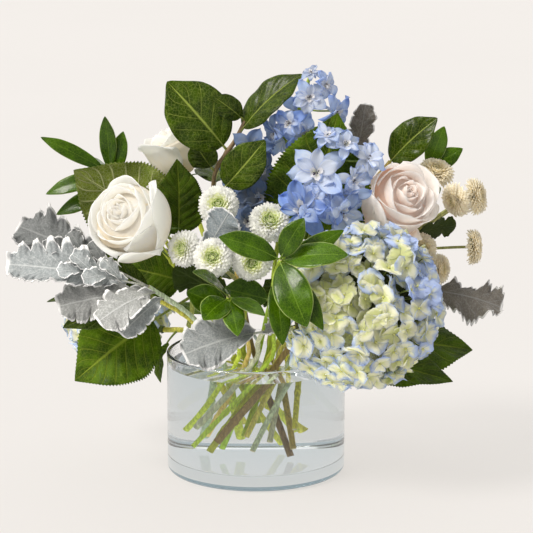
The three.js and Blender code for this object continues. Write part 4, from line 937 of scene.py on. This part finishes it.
def mophead(side, head, draw):
    """A ball of four-petalled florets, with more of them deeper down, over a dark core: short stalks in
    painted shade.
    """
    name, node = f"hydrangea_{side}_florets", f"hydrangea_head_{side}"
    centre, radius = np.array(head.centre, float), head.radius
    stalk = np.array(head.stalk_to) - centre
    toward = unit(stalk)
    petals = Piece(name, node, "hydrangea_petal", [HYDRANGEA_PETAL], 0.35)
    inside = Piece(name + "_inside", node, "hydrangea_leaf", [PAINTED_SHADE_CORE, BEAD, STEM])
    # the dark core: painted shade inside the head
    inside.ball(centre, radius * 0.66, 18, 28)
    stalk_end = centre + toward * (np.linalg.norm(stalk) - GAP)
    inside.tube(np.linspace(centre, stalk_end, 8), 3.2, 10, "#6d7f3a", 2)
    bumps = draw.normal(0, 1, (5, 3))
    for layer, depth, count in ((0, 0.93, round(0.058 * radius**2)), (1, 0.79, round(0.03 * radius**2))):
        for i in range(count):
            height = 1 - 2 * (i + 0.5) / count
            ring = math.sqrt(1 - height * height)
            turn = i * GOLDEN + draw.normal(0, 0.1) + layer
            out = unit([ring * math.cos(turn), ring * math.sin(turn), height + draw.normal(0, 0.03)])
            if np.dot(out, toward) > 0.9:
                continue
            # florets low on the left side are fresh: paler, larger and flatter, and brightened by painted
            # light, as they face away from the sun
            fresh_with_painted_light = float(smooth(np.dot(out, unit([-0.65, -0.4, -0.65])), 0.45, 0.85)) * (1 - layer)
            lump = 0.025 * float(np.sum(np.cos(3 * bumps @ out)))
            axis = unit(out + draw.normal(0, 0.42 - 0.2 * fresh_with_painted_light, 3))
            spot = centre + out * radius * (depth + lump + draw.uniform(-0.07, 0.04) + 0.07 * fresh_with_painted_light)
            frame_turn = upright(axis, draw.uniform(0, ANY_TURN))
            size = draw.uniform(8.6, 11.6) * (1 - 0.1 * layer) * (1 + 0.12 * fresh_with_painted_light)
            patch = float(np.sum(np.sin(2.6 * bumps @ out + 1.3)))
            blue = np.clip(draw.normal(0.48, 0.2) + 0.1 * patch, 0, 1) * (1 - 0.4 * layer)
            cupped = draw.uniform(0.0, 0.75) * (1 - 0.4 * fresh_with_painted_light)
            # the tint's third number paints shade on the deeper layer and paints light on the florets low on
            # the left
            for k in range(4):
                shift = np.clip(blue + draw.normal(0, 0.1), 0, 1) * (1 - fresh_with_painted_light) + 0.54 * fresh_with_painted_light
                petal(petals, frame_turn, spot, k * math.pi / 2 + draw.normal(0, 0.12),
                      size * draw.uniform(0.9, 1.12), size * draw.uniform(1.2, 1.45), draw, 0.6, 0.36,
                      cupped + draw.normal(0, 0.12), cupped * 0.9 + draw.uniform(-0.2, 0.25),
                      draw.uniform(-0.2, 0.5), draw.uniform(0.1, 0.32), rows=7, columns=6,
                      tint=(draw.uniform(), shift, 0.1 * layer - 0.12 * fresh_with_painted_light))
            inside.ball(spot + axis * 0.9, 1.2, 4, 6, look=1)
            foot = centre + out * radius * 0.55
            inside.tube(np.linspace(foot, spot, 4), 0.5, 5, "#8a9a4e", 2, ends=False)
    petals.build()
    inside.build()


def rose_petal(angle, share, bloom, draw):
    """A broad petal that stands round the heart, from closed at the middle to rolled back outside."""
    radius, height = bloom.radius, bloom.height
    v, q = shares(18, 21)
    belly = np.sqrt(1 - np.clip(1 - v / 0.5, 0, 1) ** 2.2)
    top = 0.6 + 0.38 * float(smooth(share, 0, 0.8)) + 0.5 * max(bloom.open, 0)
    reach = radius * (0.05 + 0.76 * share**0.85)
    lip = radius * (0.01 + 0.13 * share**2) * (0.35 + 0.65 * np.abs(q) ** 1.5) * smooth(v, 0.75, 1.02) ** 1.6
    out = 1.2 + (reach - 1.2) * belly * (1 - (1 - top) * smooth(v, 0.5, 1)) + lip
    tall = height * (0.93 - 0.03 * share) * draw.uniform(0.97, 1.04)
    peak = 0.08 * draw.uniform(0, 1) * np.clip(1 - np.abs(q) * 1.5, 0, 1) ** 1.4 * smooth(v, 0.7, 1)
    droop = (0.1 + 0.14 * share) * np.abs(q) ** 2.2
    up = tall * v * (1 - droop * v**2 + peak) - 0.7 * lip * smooth(v, 0.9, 1)
    out = out * (1 + 0.06 * q) + 0.045 * radius * np.sin(2.6 * q + draw.uniform(0, ANY_TURN)) * v**4 * share
    up = up + 0.02 * height * np.sin(3.7 * q + draw.uniform(0, ANY_TURN)) * v**6
    up = up + 0.007 * height * np.sin(13 * q + draw.uniform(0, ANY_TURN)) * v**12
    half = math.radians(96 - 22 * share) * (0.7 + 0.3 * smooth(v, 0, 0.45)) * (1 - 0.14 * smooth(v, 0.75, 1))
    return wrapped(out, up, angle + q * half)


def guard_petal(way, tall, bend, wide, bloom, turn, draw):
    """A large outer petal on the side of the bloom that faces the given way, bent out at its top."""
    radius, height = bloom.radius, bloom.height * tall
    local = turn.T @ unit(way)
    v, q = shares(20, 21)
    belly = np.sqrt(1 - np.clip(1 - v / 0.6, 0, 1) ** 2.2)
    flare = bend * radius * smooth(v, 0.45, 1.05) ** 1.5 * (1 - 0.25 * q * q)
    wobble = 0.02 * np.sin(4 * q + draw.uniform(0, ANY_TURN)) * v
    out = 1.2 + 0.86 * radius * belly * (1 + wobble) + flare
    up = height * v * (1 - 0.55 * np.abs(q) ** 2.2 * v + 0.07 * (1 - np.abs(q)) * v) - 0.55 * flare * v
    spread = math.radians(wide) * (0.75 + 0.25 * smooth(v, 0, 0.6)) * (1 - 0.25 * smooth(v, 0.6, 1.05))
    return wrapped(out, up, math.atan2(local[1], local[0]) + q * spread)


def rose_heart(bloom):
    """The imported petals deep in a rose, as one soft form that the gaps between the free petals end on."""
    radius, height = bloom.radius, bloom.height
    share = np.linspace(0.97, 0.0, 16)[:, None]
    top = 0.6 + 0.38 * smooth(share, 0, 0.8) + 0.5 * max(bloom.open, 0)
    out = radius * (0.05 + 0.76 * share**0.85) * top * 0.97
    up = height * (0.93 - 0.03 * share) * (1 - 0.02 * share) - radius * (0.08 + 0.26 * share)
    turns = circle(48)[None, :]
    rings = wrapped(out, up - 0.4 * np.cos(3 * turns + out), turns)
    rings[..., 0] *= 1 + 0.03 * np.cos(5 * turns + 9 * out)
    return np.concatenate([turned([(0.3 * radius, 0.2 * height)], 48), rings])


def rose(side, bloom, draw):
    """A rose: petals in a spiral, each a little further out than the one before, in a few large ones."""
    foot, turn = np.array(bloom.base, float), upright(bloom.axis)
    slot, material = ("blush_petal", BLUSH_PETAL) if side == "right" else ("white_petal", WHITE_PETAL)
    petals = Piece(f"rose_{side}_petals", f"rose_bloom_{side}", slot, [material], 0.5)
    # the heart form is a little darker: painted shade deep in the bloom
    petals.grid(foot + rose_heart(bloom) @ turn.T, (0.5, 0.55, 0.06), closed=True)
    for i in range(bloom.petals):
        share = (i / (bloom.petals - 1)) ** 1.15
        points = rose_petal(i * math.radians(137.5) + draw.normal(0, 0.14), share, bloom, draw)
        petals.grid(foot + points @ turn.T, (draw.uniform(0.4, 0.7), 0.2 + 0.5 * share, 0.0))
    for guard in bloom.guards:
        petals.grid(foot + guard_petal(*guard, bloom, turn, draw) @ turn.T, (0.95, 0.8, 0.0))
    petals.build()


def button(place, head, draw):
    """A button chrysanthemum: short spooned petals all over a dome, on a green cup."""
    foot, turn, radius = np.array(head.base, float), upright(head.axis), head.radius
    material = BUTTON_PETAL if place.startswith("left") else CREAM_PETAL
    petals = Piece(f"button_{place}_petals", f"mum_head_{place}", "button_petal", [material, STEM], 0.22)
    count = 210
    centre = np.array([0, 0, radius * 0.16])
    s, q = shares(6, 4)
    for i in range(count):
        f = math.sqrt((i + 0.5) / count)
        low, high = f * math.radians(94), f * math.radians(99) + draw.normal(0, 0.03)
        reach = radius * (0.52 + 0.48 * smooth(f, 0.1, 0.7)) * draw.uniform(0.95, 1.04)
        out = radius * 0.3 + (reach - radius * 0.3) * s
        bend = low + (high - low) * s - 0.25 * (1 - f) * s**2 + 0.1 * f * smooth(s, 0.7, 1)
        half = 0.082 * radius * (0.5 + 0.65 * smooth(s, 0, 0.7)) * (1 - 0.7 * smooth(s, 0.82, 1.0) ** 2)
        rise = out * np.cos(bend) * (0.68 + 0.32 * f) + 0.5 * half * q * q
        local = fanned(out * np.sin(bend), half * q, rise, i * GOLDEN) + centre
        petals.grid(foot + local @ turn.T, (draw.uniform(), 0.05 + 0.72 * smooth(f, 0.15, 0.72), 0.0))
    cup = np.array([(0.15, 0.02), (0.42, 0.0), (0.6, 0.1), (0.66, 0.24), (0.4, 0.28)]) * radius
    rings = turned(cup, 18)
    rings[..., 0] *= 1 + 0.05 * np.cos(9 * circle(18))
    petals.grid(foot + rings @ turn.T, "#4d5a26", 1, closed=True)
    petals.build()


def below(head, depth):
    return np.array(head.base, float) - unit(head.axis) * depth


def calyx(piece, bloom):
    """The green cup under a rose and its five sepals."""
    turn, foot = upright(bloom.axis), below(bloom, GAP + CALYX_DEPTH)
    cup = turned([(1.5, -2), (3.6, 0.5), (5.6, 3), (5.9, 5), (4.6, CALYX_DEPTH)], 14)
    piece.grid(foot + cup @ turn.T, "#6f8a3c", closed=True)
    s, q = shares(10, 5)
    for i in range(5):
        half = 3.0 * (1 - s) ** 0.8 + 0.15
        local = fanned(4 + 19 * s, half * q, 4.5 + 3 * s - 14 * s * s + 0.6 * q * q, math.radians(72 * i))
        piece.grid(foot + local @ turn.T, "#6a8438")


def delphinium_floret(petals, hearts, centre, axis, radius, deep, blue, opened, draw):
    """Two rounds of pointed sepals and a small white heart, with a spur behind."""
    axis = unit(axis)
    turn = upright(axis, draw.uniform(0, ANY_TURN))
    # deep darkens the sepals, the heart and the spur: painted shade
    for ring, size in ((0, 1.0), (1, 0.74)):
        for k in range(5):
            tint = (draw.uniform(), np.clip(blue - 0.3 * ring + draw.normal(0, 0.15), 0, 1), deep)
            petal(petals, turn, centre + axis * 0.06 * radius * ring,
                  (k + 0.5 * ring) * math.radians(72) + draw.normal(0, 0.2),
                  radius * draw.uniform(1.3, 1.65) * size, radius * draw.uniform(0.8, 1.05) * size,
                  draw, 0.85, 0.78, opened + 0.3 * ring + draw.normal(0, 0.22),
                  opened * 0.6 + draw.uniform(-0.1, 0.5),
                  draw.uniform(0.1, 0.8), draw.uniform(0.14, 0.34), rows=11, tint=tint)
    for k in range(6):
        petal(hearts, turn, centre, k * math.radians(60) + draw.normal(0, 0.3),
              radius * draw.uniform(0.3, 0.46), radius * draw.uniform(0.2, 0.32), draw, 0.7, 0.45,
              1.2 + draw.normal(0, 0.3), 0.3, 0.6, 0.4, rows=6, columns=5,
              tint=(draw.uniform(), 0.3 + 0.3 * draw.uniform(), 0.5 * deep))
    for _ in range(6):
        offset = draw.normal(0, 0.1, 2) * radius
        spot = centre + turn @ np.array([offset[0], offset[1], 0.32 * radius])
        hearts.ball(spot, 0.035 * radius + 0.15, 3, 5, look=1)
    reach = np.linspace(0, 1.1 * radius, 6)[:, None]
    spur = centre + (turn @ [0, 0, -1.0] + [0, 0, 0.25]) * reach
    petals.tube(spur, np.linspace(0.16, 0.05, 6) * radius, 6, (0.5, 0.35, 0.5 * deep), ends=False)


def spike(name, draw, deep, blues, buds):
    """A delphinium: florets on short stalks round a stem, half open ones between, and buds at its tip.

    The blues are those of its first florets; the others are drawn.
    """
    petals = Piece(name + "_florets", name, "delphinium", [DELPHINIUM_PETAL], 0.3)
    hearts = Piece(name + "_hearts", name, "delphinium", [DELPHINIUM_HEART, STAMEN])
    stalks, upper = grow(name, "delphinium", draw)
    florets, between = FLORETS[name], []
    for (a, look_a, size_a), (b, look_b, size_b) in zip(florets, florets[1:]):
        if math.dist(a, b) < 34 and size_a + size_b > 24:
            between.append(((np.add(a, b) / 2 + [0, 3, 0]), np.add(look_a, look_b) + draw.normal(0, 0.3, 3),
                            0.42 * (size_a + size_b)))
    for i, (centre, look, radius) in enumerate([*florets, *between]):
        centre, radius = np.array(centre, float), radius * (0.75 if i == 0 and buds > 5 else 1.0)
        behind = centre - unit(look) * radius * 0.3
        near = upper[np.argmin(np.linalg.norm(upper - (centre - [0, 0, PEDICEL_DROP]), axis=1))]
        middle = (near + behind) / 2 - [0, 0, 1.5]
        stalks.tube(catmull([near, middle, behind], 8), 0.8, 6, "#9db24a", ends=False)
        blue = blues[i] if i < len(blues) else draw.uniform(0.3, 0.9)
        opened = draw.uniform(0.25, 0.6) if i < len(florets) else draw.uniform(0.8, 1.2)
        depth = deep * draw.uniform(0.4, 1.2)
        delphinium_floret(petals, hearts, centre, look, radius, depth, blue, opened, draw)
    for i in range(buds):
        spot = along(upper, 1 - 0.035 * i) + draw.normal(0, 1, 3) + [0, 0, 2]
        petals.ball(spot, 2.2 + 0.2 * i, 5, 7, (0.5, 0.6, 0.1))
    for piece in (petals, hearts, stalks):
        piece.build()


# ---------------------------------------------------------------- the vase and its water


def steadied(profile):
    """The profile with points near both ends of each long stretch, so that it is shaded as straight."""
    points = [profile[0]]
    for a, b in zip(profile, profile[1:]):
        length = math.dist(a, b)
        if length > 4:
            for part in (0.5 / length, 1 - 0.5 / length):
                points.append((a[0] + (b[0] - a[0]) * part, a[1] + (b[1] - a[1]) * part))
        points.append(b)
    return points


def lathe(name, node, slot, materials, profile, look):
    """A closed body turned from (radius, height) points that start and end on the axis."""
    profile, segments = steadied(profile), 96
    piece = Piece(name, node, slot, materials)
    piece.capped(turned(profile[1:-1], segments))
    middles = [((a[0] + b[0]) / 2, (a[1] + b[1]) / 2) for a, b in zip(profile[1:-1], profile[2:-1])]
    piece.looks = [np.repeat([look(*middle) for middle in middles], segments)]
    piece.cap_looks = [look(*profile[0]), look(*profile[-1])]
    piece.build()


def arc(centre, radius, start, end, steps=8):
    """Points of a rounded corner, with its angles in degrees."""
    angles = np.radians(np.linspace(start, end, steps))
    return [(centre[0] + radius * math.cos(a), centre[1] + radius * math.sin(a)) for a in angles]


def vase_and_water():
    """The glass, and the water in it, which reaches a little into the glass so that no air lies between."""
    ring, corner, overlap, hair = RADIUS - 15, 5, 0.1, 0.01  # hair: less than any real distance
    inside, lip = RADIUS - WALL, WALL / 2
    inner_corner = (inside - 2, BASE + 2)
    profile = [(0, 0), (ring, 0), *arc((RADIUS - corner, corner), corner, -90, 0, 10),
               *arc((RADIUS - lip, HEIGHT - lip), lip, 0, 180, 12), (inside, WATER_LEVEL),
               *arc(inner_corner, 2, 0, -90), (0, BASE)]

    def glass_look(r, z):
        if z < hair and r < ring:
            return 2
        # the outer bottom corner: the glass tinted dark as a painted foot line
        if z < corner and r > ring:
            return 3
        return 1 if r < inside + hair and BASE - hair < z < WATER_LEVEL else 0

    lathe("vase_glass", "vase", "glass", [GLASS, GLASS_WET, GLASS_BASE, GLASS_PAINTED_FOOT_LINE], profile, glass_look)
    profile = [(0, BASE - overlap), *arc(inner_corner, 2 + overlap, -90, 0), (inside + overlap, WATER_LEVEL),
               (0, WATER_LEVEL)]
    lathe("water_body", "water", "water", [WATER, WATER_SIDE], profile,
          lambda r, z: int(z < WATER_LEVEL - hair))


# ---------------------------------------------------------------- the bouquet

# how dark the whole delphinium is, as painted shade (most on the back one, in the others' shade), how blue
# its first florets are, and its number of buds
SPIKES = {
    "delphinium_tall": (0.08, [0.25, 0.3, 0.3, 0.7], 6),
    "delphinium_front": (0.0, [0.3, 0.95, 0.4, 0.35, 0.2, 0.1, 0.3, 0.35], 3),
    "delphinium_back": (0.45, [0.9, 1, 0.95, 1, 0.9], 3),
}


def arrange():
    draw = np.random.default_rng(5)
    vase_and_water()
    for make, heads in ((mophead, HYDRANGEAS), (rose, ROSES), (button, MUMS)):
        for place, head in heads.items():
            make(place, head, draw)
    for name, spec in STEMS.items():
        side = name.split("_")[-1]
        if spec.kind == "delphinium":
            spike(name, draw, *SPIKES[name])
            continue
        if spec.kind == "rose":
            stalks, _ = grow(name, "green_stem", draw, end=below(ROSES[side], GAP + CALYX_DEPTH / 2))
            calyx(stalks, ROSES[side])
        elif spec.kind == "mum":
            heads = [head for place, head in MUMS.items() if place.startswith(side)]
            shoots = [(0.95 - 0.06 * i, 1.2, [*head.via, below(head, STALK_RUN), below(head, GAP)])
                      for i, head in enumerate(heads)]
            stalks, _ = grow(name, "green_stem", draw, shoots)
        else:
            stalks, _ = grow(name, spec.kind + "_leaf", draw)
        stalks.build()


# ---------------------------------------------------------------- floor and light

FLOOR_GLOW = 0.715  # the paper is lit from within as well, so that the shadow on it stays faint
KEY_WAY = (-0.62, -0.45, 0.8)  # the way to the sun
GLOW_WAY = (-0.3, 0.75, 0.55)  # the way to the brightest part of the studio


def stage():
    side, drop = 14.0, -0.0003
    mesh = bpy.data.meshes.new("floor")
    corners = [(-side, -side, drop), (side, -side, drop), (side, side, drop), (-side, side, drop)]
    mesh.from_pydata(corners, [], [(0, 1, 2, 3)])
    floor = add("floor", mesh)
    g = blank("floor_paper")
    colour = g.mix(g.step(g.noise(900), 0.3, 0.7), "#6f6e6f", "#6d6c6d")
    mesh.materials.append(g.finish({"Base Color": colour, "Roughness": 0.9, "Specular IOR Level": 0.1,
                                    "Emission Color": "#f6f1eb", "Emission Strength": FLOOR_GLOW}))


def light():
    """A pale studio, bright behind and along the horizon and dim in front, and a soft sun from the left."""
    world = bpy.data.worlds.new("studio")
    bpy.context.scene.world = world
    g = Graph(world)
    way = g.value("TexCoord", {}, "Generated")
    toward = g.value("VectorMath", {0: way, 1: tuple(unit(GLOW_WAY))}, "Value", operation="DOT_PRODUCT")
    level = abs(g.parts("SeparateXYZ", way)[2])
    strength = g.larger(g.step(toward, -0.25, 0.65, 0.4, 1.05), g.step(level, 0.08, 0.3, 0.8, 0.0))
    g.node("OutputWorld", {"Surface": g.value("Background", {"Color": "#fdfbf8", "Strength": strength})})
    sun = bpy.data.lights.new("sun", "SUN")
    sun.energy = 2.8
    sun.angle = math.radians(22)
    sun.color = rgb("#fffaf2")[:3]
    x, y, z = unit(KEY_WAY)
    add("sun", sun).rotation_euler = (math.acos(z), 0, math.atan2(y, x) + math.pi / 2)
    view = bpy.context.scene.view_settings
    view.view_transform = "Standard"
    view.look = "None"


arrange()
stage()
light()
